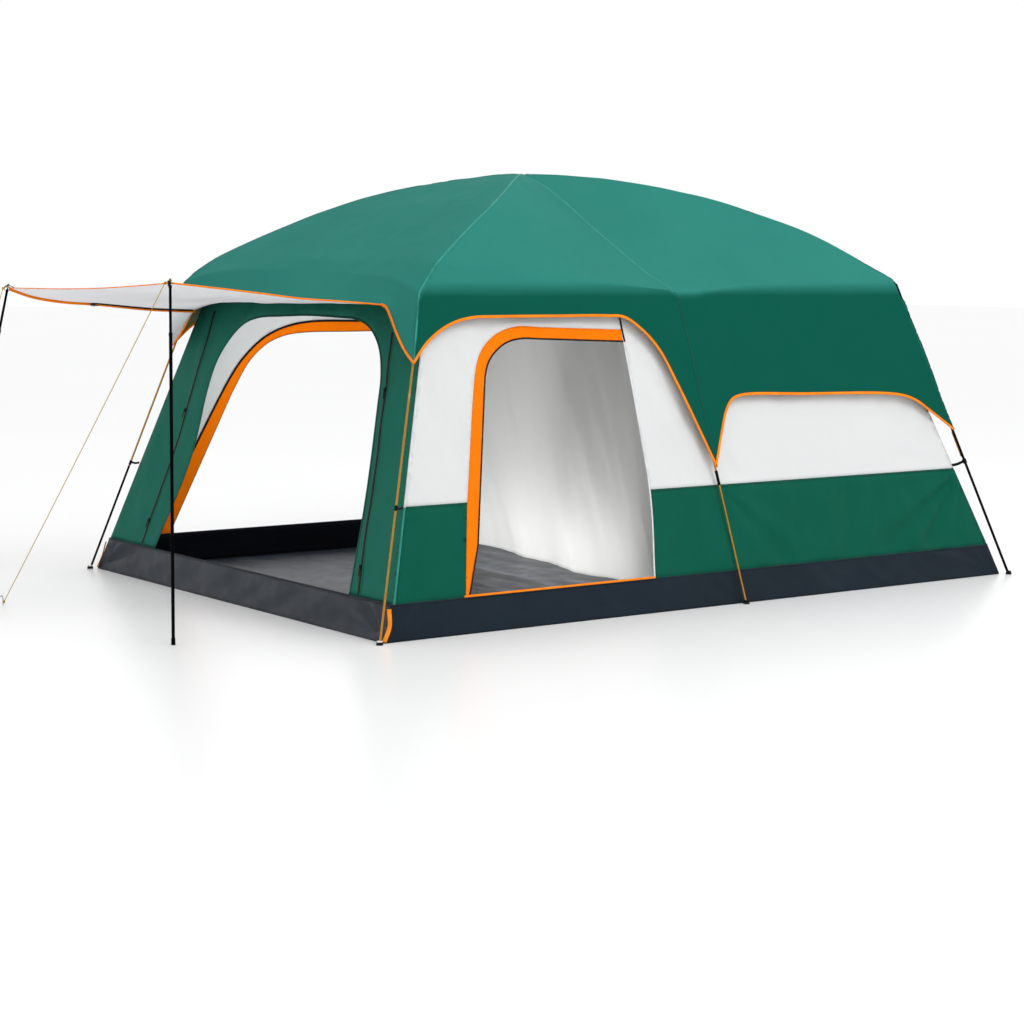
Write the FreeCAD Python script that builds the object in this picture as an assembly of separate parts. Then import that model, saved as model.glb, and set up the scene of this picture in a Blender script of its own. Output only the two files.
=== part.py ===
"""Two-room cabin tent on poles: six legs and arched roof rods under a fly sheet with arched flaps,
an inner tent with a tub floor and doors, and a front awning on two telescopic poles with guylines.

Millimetres. +Z up, the awning and the big door face -Y, the right-hand long wall is at +X.
The origin is on the ground under the middle of the floor.
"""
import FreeCAD, Part
import math
import os

from FreeCAD import Vector

# ---- driving dimensions ---------------------------------------------------------------------
FLOOR_WIDTH = 3050.0
FLOOR_LENGTH = 4300.0
CLOTH = 2.5            # thickness of every fabric solid
GAP = 1.0              # clearance between neighbouring fabric panels

# Tub floor
SKIRT_TOP = 176.0
SKIRT_INSET_SIDE = 36.0
SKIRT_INSET_FRONT = 58.0
SKIRT_INSET_REAR = 73.0

# Inner tent: each wall leans inwards by its slope, from a base line on the ground
SIDE_WALL_BASE = 1539.0
SIDE_WALL_SLOPE = 0.266
FRONT_WALL_BASE = -2136.0
FRONT_WALL_SLOPE = 0.308
REAR_WALL_BASE = 2140.0
REAR_WALL_SLOPE = -0.390
WALL_BOTTOM = SKIRT_TOP + GAP
COLOUR_LINE = 620.0    # height of the seam between the green and the white wall cloth
WALL_TOP_FRONT = 1600.0
WALL_TOP_REAR = 1650.0

# Frame poles
FRONT_LEG_RADIUS = 5.5
REAR_LEG_RADIUS = 7.5
ROD_RADIUS = 5.5
POLE_WALL = 1.0
ELBOW_RADIUS = 8.0
ELBOW_ARM = 60.0
FOOT_RADIUS = 17.0
FOOT_HEIGHT = 15.0
LEG_START = 18.0       # height at which a leg's axis leaves its foot cup
CLIP_RADIUS = 10.5
CLIP_LENGTH = 24.0
CLIP_PLAY = 0.3        # clearance between a clip's bore and its leg
STRAP_WIDTH = 14.0
STRAP_THICKNESS = 3.0
SLEEVE_LENGTH = 78.0   # clip sleeve on the middle leg
SLEEVE_WALL = 2.5

FRONT_FOOT = Vector(1544, -2189, 0)
FRONT_HUB = Vector(1149, -1696, 1622)
MIDDLE_FOOT = Vector(1556, 125, 0)
MIDDLE_HUB = Vector(1148, -53, 1622)
REAR_FOOT = Vector(1559, 2191, 0)
REAR_HUB = Vector(1133, 1630, 1680)

# Crown hub, and the line of each roof rod from its elbow up to the hub
CROWN_HUB_RADIUS = 41.0
CROWN_HUB_HEIGHT = 26.0
CROWN_HUB_CENTRE = Vector(0, -228, 2236)
ROD_FRONT = [Vector(1122, -1580, 1772), Vector(962, -1296, 1922), Vector(752, -964, 2080),
             Vector(398, -578, 2206), Vector(35, -262, 2236)]
ROD_MIDDLE = [Vector(1092, -64, 1648), Vector(956, -86, 1700), Vector(556, -146, 1945),
              Vector(214, -197, 2152), Vector(46, -221, 2236)]
ROD_REAR = [Vector(1066, 1508, 1764), Vector(872, 1192, 1932), Vector(612, 768, 2108),
            Vector(228, 142, 2240), Vector(25, -188, 2242)]

# Mesh ceiling: its top under the crown and the corners of its right half
CEILING_TOP = Vector(0, -228, 2100)
CEILING_CORNERS = [Vector(1104, -1632, 1606), Vector(1098, -56, 1630), Vector(1090, 1482, 1656)]
CEILING_SEAM_SHARE = 0.003    # share by which each panel shrinks towards its middle, to clear the next

# Curtain between the two rooms: its line along the floor and its line along the ceiling
DIVIDER_FLOOR = [Vector(-1470, 330, 4), Vector(-600, 235, 4), Vector(150, 75, 4), Vector(700, 20, 4),
                 Vector(1470, -440, 4)]
DIVIDER_TOP = [Vector(-1085, 330, 1590), Vector(-480, 255, 1780), Vector(60, 130, 1920),
               Vector(560, 40, 1770), Vector(1085, -410, 1590)]

# Fly sheet: the crown, the three eave corners of the right half and the points along its ridges
CROWN = Vector(0, -228, 2289)
EAVE_FRONT = Vector(1156, -1704, 1648)
EAVE_MIDDLE = Vector(1154, -56, 1655)
EAVE_REAR = Vector(1138, 1632, 1712)
SHOULDER = Vector(1142, -1592, 1800)      # where the front ridge turns down to its leg
RIDGE_FRONT = [Vector(52, -276, 2287), Vector(400, -580, 2240), Vector(764, -979, 2106),
               Vector(978, -1312, 1950), SHOULDER]
RIDGE_MIDDLE = [Vector(70, -217, 2260), Vector(560, -145, 1975), Vector(966, -84, 1722), EAVE_MIDDLE]
RIDGE_REAR = [Vector(38, -166, 2288), Vector(232, 148, 2272), Vector(621, 783, 2135),
              Vector(882, 1208, 1959), EAVE_REAR]
AWNING_SEAM = Vector(1000, -1800, 1582)   # right end of the seam where the awning starts

# Fly flaps hang in the leg planes: x and y of each plane's outer face are linear in height
FLAP_SIDE_BASE = 1566.5
FLAP_SIDE_SLOPE = 0.25
FLAP_REAR_BASE = 2202.0
FLAP_REAR_SLOPE = -0.334
FLAP_TIP_FRONT = (-1800.0, 1300.0)        # y, z of the points that end on the legs
FLAP_TIP_MIDDLE = (45.0, 720.0)
FLAP_TIP_REAR = (1909.0, 844.0)
PIPING_RADIUS = 4.0

# Side doorways, on the side wall. outer: y of the foot and of the knee at the colour line, then (y, z) of
# the bend, the corner's middle, the top and the jamb. inner: y of the foot, a knee, then the same places.
# jamb: y of the rear edge at the bottom and at the colour line.
SIDE_DOORS = {
    "right": {"outer": [(-1657, -1570), (-1411, 1241), (-1328, 1382), (-1110, 1474), (-430, 1450)],
              "inner": [-1636, (-1541, 418), (-1352, 1228), (-1272, 1345), (-1100, 1412), (-430, 1388)],
              "jamb": (-461, -405)},
    "left": {"outer": [(-1765, -1637), (-1427, 1104), (-1238, 1337), (-948, 1431), (-240, 1435)],
             "inner": [-1700, (-1614, 418), (-1400, 1015), (-1211, 1301), (-980, 1368), (-240, 1373)],
             "jamb": (-271, -215)},
}

# Awning and its poles
HINGE_Y = -1806.0
NEAR_CORNER = Vector(1002, -2990, 1692)
FAR_CORNER = Vector(-930, -2940, 1640)
NEAR_POLE_FOOT = Vector(1002, -2990, 0)
FAR_POLE_FOOT = Vector(-950, -3300, 2.3)
UPPER_TUBE_RADIUS = 6.5
LOWER_TUBE_RADIUS = 8.0
LOWER_TUBE_BORE = 6.7
UPPER_TUBE_LENGTH = 900.0
UPPER_TUBE_SHOWN = 230.0    # length of the upper tube that stands out of the lower one
SPIKE_RADIUS = 3.5
SPIKE_RISE = 14.0
SHOULDER_DROP = 12.0        # from the grommet's middle down to the top of the tube
GROMMET_RADIUS = 13.0
GROMMET_HOLE = 7.5
GROMMET_THICKNESS = 3.0
BOOT_LENGTH = 32.0
COLLAR_LENGTH = 18.0
PLUG_LENGTH = 20.0
ZIP_SHARES = (0.05, 0.3, 0.55)    # where the awning's zip starts, passes and ends along the far edge
ZIP_INSETS = (14, 30)             # how far in from that edge its two sides lie

# Guylines: the route of each, from the awning's corner to its peg
GUYLINE_RADIUS = 2.0
GUYLINE_NEAR = [Vector(985, -3008, 1690), Vector(222, -3086, 836), Vector(-541, -3161, 18)]
GUYLINE_FAR = [Vector(-938, -2964, 1634), Vector(-951, -3226, 808), Vector(-963, -3478, 18)]
NEAR_PEG = Vector(-549, -3163, 0)
FAR_PEG = Vector(-965, -3486, 0)
PEG_RADIUS = 3.0

# Zips of the front door, as (x, z) on the front wall, from top to bottom
ZIP_LEFT = [(-972.0, 1500.0), (-983.0, 1010.0), (-1100.0, 190.0)]
ZIP_RIGHT = [(900.0, 1440.0), (990.0, 1090.0), (1185.0, 190.0)]
ZIP_WIDTH = 20.0
ZIP_THICKNESS = 1.2
ZIP_STAND_OFF = 0.3    # clearance between the tape and the wall
# Each slider: its zip, which stretch of it, and how far down that stretch it stands
SLIDERS = {"zip_slider_right_upper": (ZIP_RIGHT, 0, 0.80), "zip_slider_right_lower": (ZIP_RIGHT, 1, 0.86),
           "zip_slider_left_upper": (ZIP_LEFT, 1, 0.08), "zip_slider_left_lower": (ZIP_LEFT, 1, 0.84)}

UP = Vector(0, 0, 1)
BEND_SHARE = 0.45      # share of the shorter run that a route's bend takes up


# ---- small helpers --------------------------------------------------------------------------
def save(name, *shapes):
    """Writes one sub-part: a single solid, or a group of separate solids."""
    solids = [solid for shape in shapes for solid in shape.Solids]
    for solid in solids:
        if not solid.isValid() or solid.Volume <= 0:
            print("CHECK", name, "valid", solid.isValid(), "volume", solid.Volume)
    body = solids[0] if len(solids) == 1 else Part.makeCompound(solids)
    body.exportStep(os.path.join("parts", name + ".step"))


def mirrored(shape):
    """The same shape on the other side of the tent."""
    return shape.mirror(Vector(0, 0, 0), Vector(1, 0, 0))


def flipped(point):
    return Vector(-point.x, point.y, point.z)


def polygon(points):
    """A flat face with straight sides."""
    return Part.Face(Part.makePolygon(list(points) + [points[0]]))


def line(a, b):
    return Part.LineSegment(a, b).toShape()


def arc(a, b, c):
    """An arc from a to c through b."""
    return Part.Arc(a, b, c).toShape()


def spline(points):
    curve = Part.BSplineCurve()
    curve.interpolate(points)
    return curve.toShape()


def cylinder(start, end, radius, bore=0.0):
    """A round bar or tube between two points."""
    along = end - start
    bar = Part.makeCylinder(radius, along.Length, start, along)
    if bore:
        bar = bar.cut(Part.makeCylinder(bore, along.Length, start, along))
    return bar


def fused(shapes):
    """The shapes joined into one solid."""
    return shapes[0].multiFuse(shapes[1:]).removeSplitter()


def plate(start, end, width, thickness, normal):
    """A flat strip centred on the line from start to end, standing on a face with this normal."""
    side = normal.cross(end - start).normalize() * (width / 2)
    face = polygon([start - side, end - side, end + side, start + side])
    return face.extrude(normal * thickness)


def rounded_route(points, name=""):
    """Straight runs joined by tangent arcs, as large as the shorter run beside each point allows."""
    edges = []
    start = points[0]
    for before, corner, after in zip(points, points[1:], points[2:]):
        back = before - corner
        ahead = after - corner
        half_turn = (math.pi - back.getAngle(ahead)) / 2
        reach = BEND_SHARE * min(back.Length, ahead.Length)
        radius = reach / math.tan(half_turn)
        first = corner + back.normalize() * reach
        last = corner + ahead.normalize() * reach
        inward = (back + ahead).normalize()
        middle = corner + inward * (radius / math.cos(half_turn) - radius)
        edges.append(line(start, first))
        edges.append(arc(first, middle, last))
        start = last
        if name:
            print(name, "arc radius", round(radius), "mm")
    edges.append(line(start, points[-1]))
    return Part.Wire(edges)


def swept(points, radius, name=""):
    """A round tube's solid along a rounded route."""
    path = rounded_route(points, name)
    circle = Part.Wire(Part.makeCircle(radius, points[0], points[1] - points[0]))
    solid = path.makePipeShell([circle], True, True)
    if name:
        expected = math.pi * radius ** 2 * path.Length
        print(name, "length", round(path.Length), "mm, volume ratio", round(solid.Volume / expected, 4))
    return solid


# ---- where things are -----------------------------------------------------------------------
def on_side_wall(y, z, inward=0.0):
    return Vector(SIDE_WALL_BASE - SIDE_WALL_SLOPE * z - inward, y, z)


def on_front_wall(x, z, outward=0.0):
    return Vector(x, FRONT_WALL_BASE + FRONT_WALL_SLOPE * z - outward, z)


def on_rear_wall(x, z):
    return Vector(x, REAR_WALL_BASE + REAR_WALL_SLOPE * z, z)


def on_side_flap(y, z, outward=0.0):
    return Vector(FLAP_SIDE_BASE - FLAP_SIDE_SLOPE * z + outward, y, z)


def on_rear_flap(x, z, outward=0.0):
    return Vector(x, FLAP_REAR_BASE + FLAP_REAR_SLOPE * z + outward, z)


def wall_corner_front(z):
    """Nearest y of the side wall to the front wall, a seam's gap behind it."""
    return on_front_wall(0, z).y + CLOTH + GAP


def wall_corner_rear(z):
    return on_rear_wall(0, z).y - CLOTH - GAP


FRONT_WALL_NORMAL = Vector(0, -1, FRONT_WALL_SLOPE).normalize()
SIDE_WALL_NORMAL = Vector(1, 0, SIDE_WALL_SLOPE).normalize()


# ---- frame ----------------------------------------------------------------------------------
def leg(foot, hub, radius):
    """A steel tube from its foot cup to the elbow at the eave."""
    along = hub - foot
    start = foot + along * (LEG_START / along.z)
    end = hub - along.normalize() * ELBOW_ARM
    return cylinder(start, end, radius, radius - POLE_WALL)


def elbow(foot, hub, next_point):
    """The bent joint at the eave, with one arm towards the leg and one towards the roof rod."""
    down = (foot - hub).normalize() * ELBOW_ARM
    up = (next_point - hub).normalize() * ELBOW_ARM
    arms = [cylinder(hub, hub + down, ELBOW_RADIUS), cylinder(hub, hub + up, ELBOW_RADIUS)]
    return fused(arms + [Part.makeSphere(ELBOW_RADIUS, hub)])


def rod_route(hub, ridge_points):
    """The roof rod's route: out of the elbow and up under the ridge to the crown hub."""
    start = hub + (ridge_points[0] - hub).normalize() * ELBOW_ARM
    return [start] + ridge_points


def crown_hub():
    """The moulded block that the six roof rods plug into."""
    base = CROWN_HUB_CENTRE - UP * (CROWN_HUB_HEIGHT / 2)
    return Part.makeCylinder(CROWN_HUB_RADIUS, CROWN_HUB_HEIGHT, base, UP)


def build_frame():
    legs = {"front": (FRONT_FOOT, FRONT_HUB, FRONT_LEG_RADIUS, ROD_FRONT),
            "middle": (MIDDLE_FOOT, MIDDLE_HUB, FRONT_LEG_RADIUS, ROD_MIDDLE),
            "rear": (REAR_FOOT, REAR_HUB, REAR_LEG_RADIUS, ROD_REAR)}
    elbows = []
    cups = []
    for place, (foot, hub, radius, ridge) in legs.items():
        right_leg = leg(foot, hub, radius)
        save("leg_" + place + "_right", right_leg)
        save("leg_" + place + "_left", mirrored(right_leg))
        rod = swept(rod_route(hub, ridge), ROD_RADIUS)
        save("roof_rods_" + place, rod, mirrored(rod))
        joint = elbow(foot, hub, ridge[0])
        cup = Part.makeCylinder(FOOT_RADIUS, FOOT_HEIGHT, foot, UP)
        elbows += [joint, mirrored(joint)]
        cups += [cup, mirrored(cup)]
    save("eave_elbows", *elbows)
    save("foot_cups", *cups)
    save("crown_hub", crown_hub())


def point_on_leg(foot, hub, z):
    along = hub - foot
    return foot + along * (z / along.z)


def leg_clip(foot, hub, radius, z, target):
    """A clip round the leg, with the strap that ties it to the wall's corner."""
    along = (hub - foot).normalize()
    middle = point_on_leg(foot, hub, z)
    bottom = middle - along * (CLIP_LENGTH / 2)
    ring = cylinder(bottom, bottom + along * CLIP_LENGTH, CLIP_RADIUS, radius + CLIP_PLAY)
    reach = (target - middle).normalize()
    upright = reach.cross(along).cross(reach)
    strap = plate(middle + reach * (CLIP_RADIUS + GAP), target, STRAP_WIDTH, STRAP_THICKNESS, upright)
    return [ring, strap]


def build_clips():
    clips = leg_clip(FRONT_FOOT, FRONT_HUB, FRONT_LEG_RADIUS, 624, Vector(1377, -1950, 624))
    clips += leg_clip(REAR_FOOT, REAR_HUB, REAR_LEG_RADIUS, 664, Vector(1366, 1886, 664))
    along = (MIDDLE_HUB - MIDDLE_FOOT).normalize()
    top = point_on_leg(MIDDLE_FOOT, MIDDLE_HUB, 700)
    clips.append(cylinder(top - along * SLEEVE_LENGTH, top, FRONT_LEG_RADIUS + SLEEVE_WALL,
                          FRONT_LEG_RADIUS + CLIP_PLAY))
    save("leg_clips", *clips, *[mirrored(clip) for clip in clips])


def build_corner_straps():
    """Webbing from the bottom corners of the tub to the front feet."""
    strap = plate(Vector(1503, -2112, 158), Vector(1529, -2158, 8), 24.0, 2.0, SIDE_WALL_NORMAL)
    save("corner_straps", strap, mirrored(strap))


# ---- tub floor ------------------------------------------------------------------------------
def build_tub():
    half_width = FLOOR_WIDTH / 2
    half_length = FLOOR_LENGTH / 2
    inner = half_width - 2 * CLOTH
    inner_length = half_length - 2 * CLOTH
    floor = Part.makeBox(2 * inner, 2 * inner_length, CLOTH, Vector(-inner, -inner_length, 0))
    save("floor_sheet", floor)

    top_x = half_width - SKIRT_INSET_SIDE
    front = [Vector(-half_width, -half_length, 0), Vector(half_width, -half_length, 0),
             Vector(top_x, -half_length + SKIRT_INSET_FRONT, SKIRT_TOP),
             Vector(-top_x, -half_length + SKIRT_INSET_FRONT, SKIRT_TOP)]
    rear = [Vector(-half_width, half_length, 0), Vector(half_width, half_length, 0),
            Vector(top_x, half_length - SKIRT_INSET_REAR, SKIRT_TOP),
            Vector(-top_x, half_length - SKIRT_INSET_REAR, SKIRT_TOP)]
    corners = {"skirt_front": front, "skirt_rear": rear,
               "skirt_right": [front[1], rear[1], rear[2], front[2]],
               "skirt_left": [front[0], rear[0], rear[3], front[3]]}
    for name, outside in corners.items():
        inside = []
        for corner in outside:
            inside.append(corner - Vector(math.copysign(CLOTH, corner.x), math.copysign(CLOTH, corner.y), 0))
        rings = [Part.makePolygon(ring + [ring[0]]) for ring in (outside, inside)]
        save(name, Part.makeLoft(rings, True, True))


# ---- inner tent -----------------------------------------------------------------------------
def band_outer(door, inset=0.0):
    """A side door band's outer edge, from the bottom seam to the jamb."""
    (foot_y, knee_y), (bend_y, bend_z), (mid_y, mid_z), (top_y, top_z), (end_y, end_z) = door["outer"]
    foot = on_side_wall(foot_y + inset, WALL_BOTTOM)
    knee = on_side_wall(knee_y + inset, COLOUR_LINE)
    bend = on_side_wall(bend_y + inset, bend_z)
    top = on_side_wall(top_y, top_z - inset)
    end = on_side_wall(end_y - inset, end_z - inset)
    corner = arc(bend, on_side_wall(mid_y + inset, mid_z - inset), top)
    return foot, knee, [line(knee, bend), corner, line(top, end)]


def band_inner(door):
    """The clear doorway's edge along the band, from the jamb back to the bottom seam."""
    foot_y, knee, (bend_y, bend_z), (mid_y, mid_z), (top_y, top_z), (end_y, end_z) = door["inner"]
    end = on_side_wall(end_y - GAP, end_z)
    top = on_side_wall(top_y, top_z)
    bend = on_side_wall(bend_y, bend_z)
    knee = on_side_wall(*knee)
    return [line(end, top), arc(top, on_side_wall(mid_y, mid_z), bend), line(bend, knee),
            line(knee, on_side_wall(foot_y, WALL_BOTTOM))]


def jamb(door, z):
    """y of the doorway's rear edge at a height."""
    low, high = door["jamb"]
    return low + (high - low) * min(1, (z - WALL_BOTTOM) / (COLOUR_LINE - WALL_BOTTOM))


def build_side_wall(side, placed):
    """One side wall with its doorway and band. placed puts the right-hand shape on its own side."""
    door = SIDE_DOORS[side]
    inward = Vector(-CLOTH, 0, 0)
    band_foot, knee, band_edges = band_outer(door)

    lower_front = polygon([on_side_wall(wall_corner_front(WALL_BOTTOM), WALL_BOTTOM), band_foot, knee,
                           on_side_wall(wall_corner_front(COLOUR_LINE), COLOUR_LINE)])
    lower_rear = polygon([on_side_wall(jamb(door, WALL_BOTTOM), WALL_BOTTOM),
                          on_side_wall(wall_corner_rear(WALL_BOTTOM), WALL_BOTTOM),
                          on_side_wall(wall_corner_rear(COLOUR_LINE), COLOUR_LINE),
                          on_side_wall(jamb(door, COLOUR_LINE), COLOUR_LINE)])
    lower = [face.extrude(inward) for face in (lower_front, lower_rear)]

    base = COLOUR_LINE
    jamb_top = on_side_wall(*door["outer"][-1])
    outline = [on_side_wall(jamb(door, base), base), on_side_wall(wall_corner_rear(base), base),
               on_side_wall(wall_corner_rear(WALL_TOP_REAR), WALL_TOP_REAR),
               on_side_wall(wall_corner_front(WALL_TOP_FRONT), WALL_TOP_FRONT),
               on_side_wall(wall_corner_front(base), base), knee]
    edges = [line(jamb_top, outline[0])]
    edges += [line(a, b) for a, b in zip(outline, outline[1:])]
    upper = Part.Face(Part.Wire(edges + band_edges)).extrude(inward)

    inner_foot, inner_knee, inner_edges = band_outer(door, GAP)
    closing = band_inner(door)
    end = inner_edges[-1].Vertexes[-1].Point
    start = closing[0].Vertexes[0].Point
    foot = closing[-1].Vertexes[-1].Point
    band_outline = [line(inner_foot, inner_knee)] + inner_edges + [line(end, start)] + closing
    band = Part.Face(Part.Wire(band_outline + [line(foot, inner_foot)])).extrude(inward)

    save(f"wall_{side}_upper", placed(upper))
    save(f"wall_{side}_lower", *[placed(panel) for panel in lower])
    save(f"door_band_{side}", placed(band))


def build_side_walls():
    build_side_wall("right", lambda shape: shape)
    build_side_wall("left", mirrored)


def build_end_walls():
    inward = Vector(0, CLOTH, 0)
    bottom = WALL_BOTTOM
    top = WALL_TOP_FRONT
    outline = [on_front_wall(-943, bottom), on_front_wall(-on_side_wall(0, bottom).x, bottom),
               on_front_wall(-on_side_wall(0, top).x, top), on_front_wall(on_side_wall(0, top).x, top),
               on_front_wall(on_side_wall(0, bottom).x, bottom), on_front_wall(1108, bottom)]
    edges = [line(a, b) for a, b in zip(outline, outline[1:])]
    right_side = [on_front_wall(x, z) for x, z in ((1108, bottom), (1030, 660), (930, 1080))]
    left_side = [on_front_wall(x, z) for x, z in ((-816, 1080), (-799, 690), (-943, bottom))]
    right_top = on_front_wall(560, 1495)
    left_top = on_front_wall(-470, 1480)
    edges += [line(a, b) for a, b in zip(right_side, right_side[1:])]
    edges.append(arc(right_side[-1], on_front_wall(815, 1355), right_top))
    edges.append(arc(right_top, on_front_wall(50, 1506), left_top))
    edges.append(arc(left_top, on_front_wall(-720, 1350), left_side[0]))
    edges += [line(a, b) for a, b in zip(left_side, left_side[1:])]
    save("wall_front", Part.Face(Part.Wire(edges)).extrude(inward))

    for name, low, high in (("lower", WALL_BOTTOM, COLOUR_LINE), ("upper", COLOUR_LINE, WALL_TOP_REAR)):
        wide = on_side_wall(0, low).x
        narrow = on_side_wall(0, high).x
        face = polygon([on_rear_wall(-wide, low), on_rear_wall(wide, low),
                        on_rear_wall(narrow, high), on_rear_wall(-narrow, high)])
        save("wall_rear_" + name, face.extrude(-inward))


def build_ceiling():
    """The mesh ceiling: six flat panels from the wall tops to one point under the crown."""
    ring = CEILING_CORNERS + [flipped(corner) for corner in reversed(CEILING_CORNERS)]
    panels = []
    for a, b in zip(ring, ring[1:] + ring[:1]):
        middle = (CEILING_TOP + a + b) / 3
        corners = [corner + (middle - corner) * CEILING_SEAM_SHARE for corner in (CEILING_TOP, a, b)]
        panels.append(polygon(corners).extrude(Vector(0, 0, -CLOTH)))
    save("ceiling", *panels)


def build_divider():
    """The curtain between the two rooms, with its right end pulled to the side door's rear jamb."""
    curtain = Part.makeRuledSurface(spline(DIVIDER_FLOOR), spline(DIVIDER_TOP))
    save("room_divider", curtain.extrude(Vector(0, CLOTH, 0)))


def build_zips():
    """Zip tapes up both sides of the front door, and a slider with its pull tab on each stretch."""
    tapes = []
    for route in (ZIP_LEFT, ZIP_RIGHT):
        points = [on_front_wall(x, z, ZIP_STAND_OFF) for x, z in route]
        stretches = [plate(a, b, ZIP_WIDTH, ZIP_THICKNESS, FRONT_WALL_NORMAL)
                     for a, b in zip(points, points[1:])]
        tapes.append(fused(stretches))
    save("front_door_zips", *tapes)

    for name, (route, stretch, share) in SLIDERS.items():
        top, bottom = (on_front_wall(x, z, ZIP_STAND_OFF) for x, z in route[stretch:stretch + 2])
        place = top + (bottom - top) * share + FRONT_WALL_NORMAL * (ZIP_THICKNESS + 0.4)
        down = (bottom - top).normalize()
        body = plate(place - down * 8, place + down * 8, 12.0, 6.0, FRONT_WALL_NORMAL)
        tab_top = place + down * 9 + FRONT_WALL_NORMAL * 2
        tab = plate(tab_top, tab_top + down * 34, 9.0, 1.5, FRONT_WALL_NORMAL)
        save(name, body, tab)
        print(name, "slides along", [round(value, 4) for value in down])


# ---- fly sheet ------------------------------------------------------------------------------
def ruled_panel(edge_a, edge_b):
    return Part.makeRuledSurface(edge_a, edge_b).extrude(Vector(0, 0, -CLOTH))


def flat_panel(points):
    return polygon(points).extrude(Vector(0, 0, -CLOTH))


def build_fly_roof():
    front = spline(RIDGE_FRONT)
    middle = spline(RIDGE_MIDDLE)
    rear = spline(RIDGE_REAR)

    front_panel = ruled_panel(front, mirrored(front))
    apron = flat_panel([SHOULDER, flipped(SHOULDER), flipped(AWNING_SEAM), AWNING_SEAM])
    save("fly_front", fused([front_panel, apron]))
    side_front = fused([ruled_panel(front, middle), flat_panel([SHOULDER, EAVE_FRONT, EAVE_MIDDLE])])
    side_rear = ruled_panel(middle, rear)
    save("fly_right_front", side_front)
    save("fly_left_front", mirrored(side_front))
    save("fly_right_rear", side_rear)
    save("fly_left_rear", mirrored(side_rear))
    save("fly_rear", ruled_panel(rear, mirrored(rear)))

    ring = [ridge[0] for ridge in (RIDGE_FRONT, RIDGE_MIDDLE, RIDGE_REAR)]
    ring += [flipped(point) for point in reversed(ring)]
    save("fly_crown_patch", fused([flat_panel([CROWN, a, b]) for a, b in zip(ring, ring[1:] + ring[:1])]))


def side_arches():
    """The two arched lower edges of a side flap: front tip to middle tip, and middle tip to rear tip."""
    front = [arc(on_side_flap(*FLAP_TIP_FRONT), on_side_flap(-1640, 1438), on_side_flap(-1390, 1520)),
             line(on_side_flap(-1390, 1520), on_side_flap(-470, 1520)),
             arc(on_side_flap(-470, 1520), on_side_flap(-395, 1500), on_side_flap(-330, 1445)),
             arc(on_side_flap(-330, 1445), on_side_flap(-140, 1145), on_side_flap(*FLAP_TIP_MIDDLE))]
    rear = [arc(on_side_flap(*FLAP_TIP_MIDDLE), on_side_flap(130, 915), on_side_flap(185, 1025)),
            arc(on_side_flap(185, 1025), on_side_flap(228, 1072), on_side_flap(300, 1088)),
            line(on_side_flap(300, 1088), on_side_flap(1430, 1062)),
            arc(on_side_flap(1430, 1062), on_side_flap(1600, 1030), on_side_flap(1731, 960)),
            line(on_side_flap(1731, 960), on_side_flap(*FLAP_TIP_REAR))]
    return front, rear


def build_flaps():
    front_arch, rear_arch = side_arches()
    top = [on_side_flap(EAVE_REAR.y - 4, EAVE_REAR.z - 6), on_side_flap(EAVE_MIDDLE.y, EAVE_MIDDLE.z - 5),
           on_side_flap(EAVE_FRONT.y + 4, EAVE_FRONT.z - 6)]
    edges = front_arch + rear_arch
    edges += [line(on_side_flap(*FLAP_TIP_REAR), top[0]), line(top[0], top[1]), line(top[1], top[2]),
              line(top[2], on_side_flap(*FLAP_TIP_FRONT))]
    flap = Part.Face(Part.Wire(edges)).extrude(Vector(-CLOTH, 0, 0))
    save("flap_right", flap)
    save("flap_left", mirrored(flap))

    tip_x = on_side_flap(*FLAP_TIP_REAR).x - CLOTH - GAP
    corner_x = EAVE_REAR.x - 4
    tip_z = FLAP_TIP_REAR[1]
    right_tip = on_rear_flap(tip_x, tip_z)
    left_tip = on_rear_flap(-tip_x, tip_z)
    right_arch = [on_rear_flap(x, z) for x, z in ((1175, 965), (1050, 1050), (880, 1075))]
    left_arch = [flipped(point) for point in right_arch]
    eave = EAVE_REAR.z - 6
    rear_edges = [line(right_tip, right_arch[0]), arc(*right_arch), line(right_arch[-1], left_arch[-1]),
                  arc(*reversed(left_arch)), line(left_arch[0], left_tip),
                  line(left_tip, on_rear_flap(-corner_x, eave)),
                  line(on_rear_flap(-corner_x, eave), on_rear_flap(corner_x, eave)),
                  line(on_rear_flap(corner_x, eave), right_tip)]
    save("flap_rear", Part.Face(Part.Wire(rear_edges)).extrude(Vector(0, -CLOTH, 0)))

    ahead = Vector(0, -3.5, 0)
    tip = Vector(on_side_flap(*FLAP_TIP_FRONT).x - CLOTH - GAP, FLAP_TIP_FRONT[0] - 6, FLAP_TIP_FRONT[1])
    seam = AWNING_SEAM - UP * (CLOTH + GAP)
    eave_corner = EAVE_FRONT - UP * 5
    shoulder = SHOULDER - UP * 5
    gusset = fused([polygon([shoulder, eave_corner, seam]).extrude(ahead),
                    polygon([eave_corner, tip, seam]).extrude(ahead)])
    gusset = gusset.translated(Vector(-1, -1, 0))
    save("flap_front", gusset, mirrored(gusset))


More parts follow.
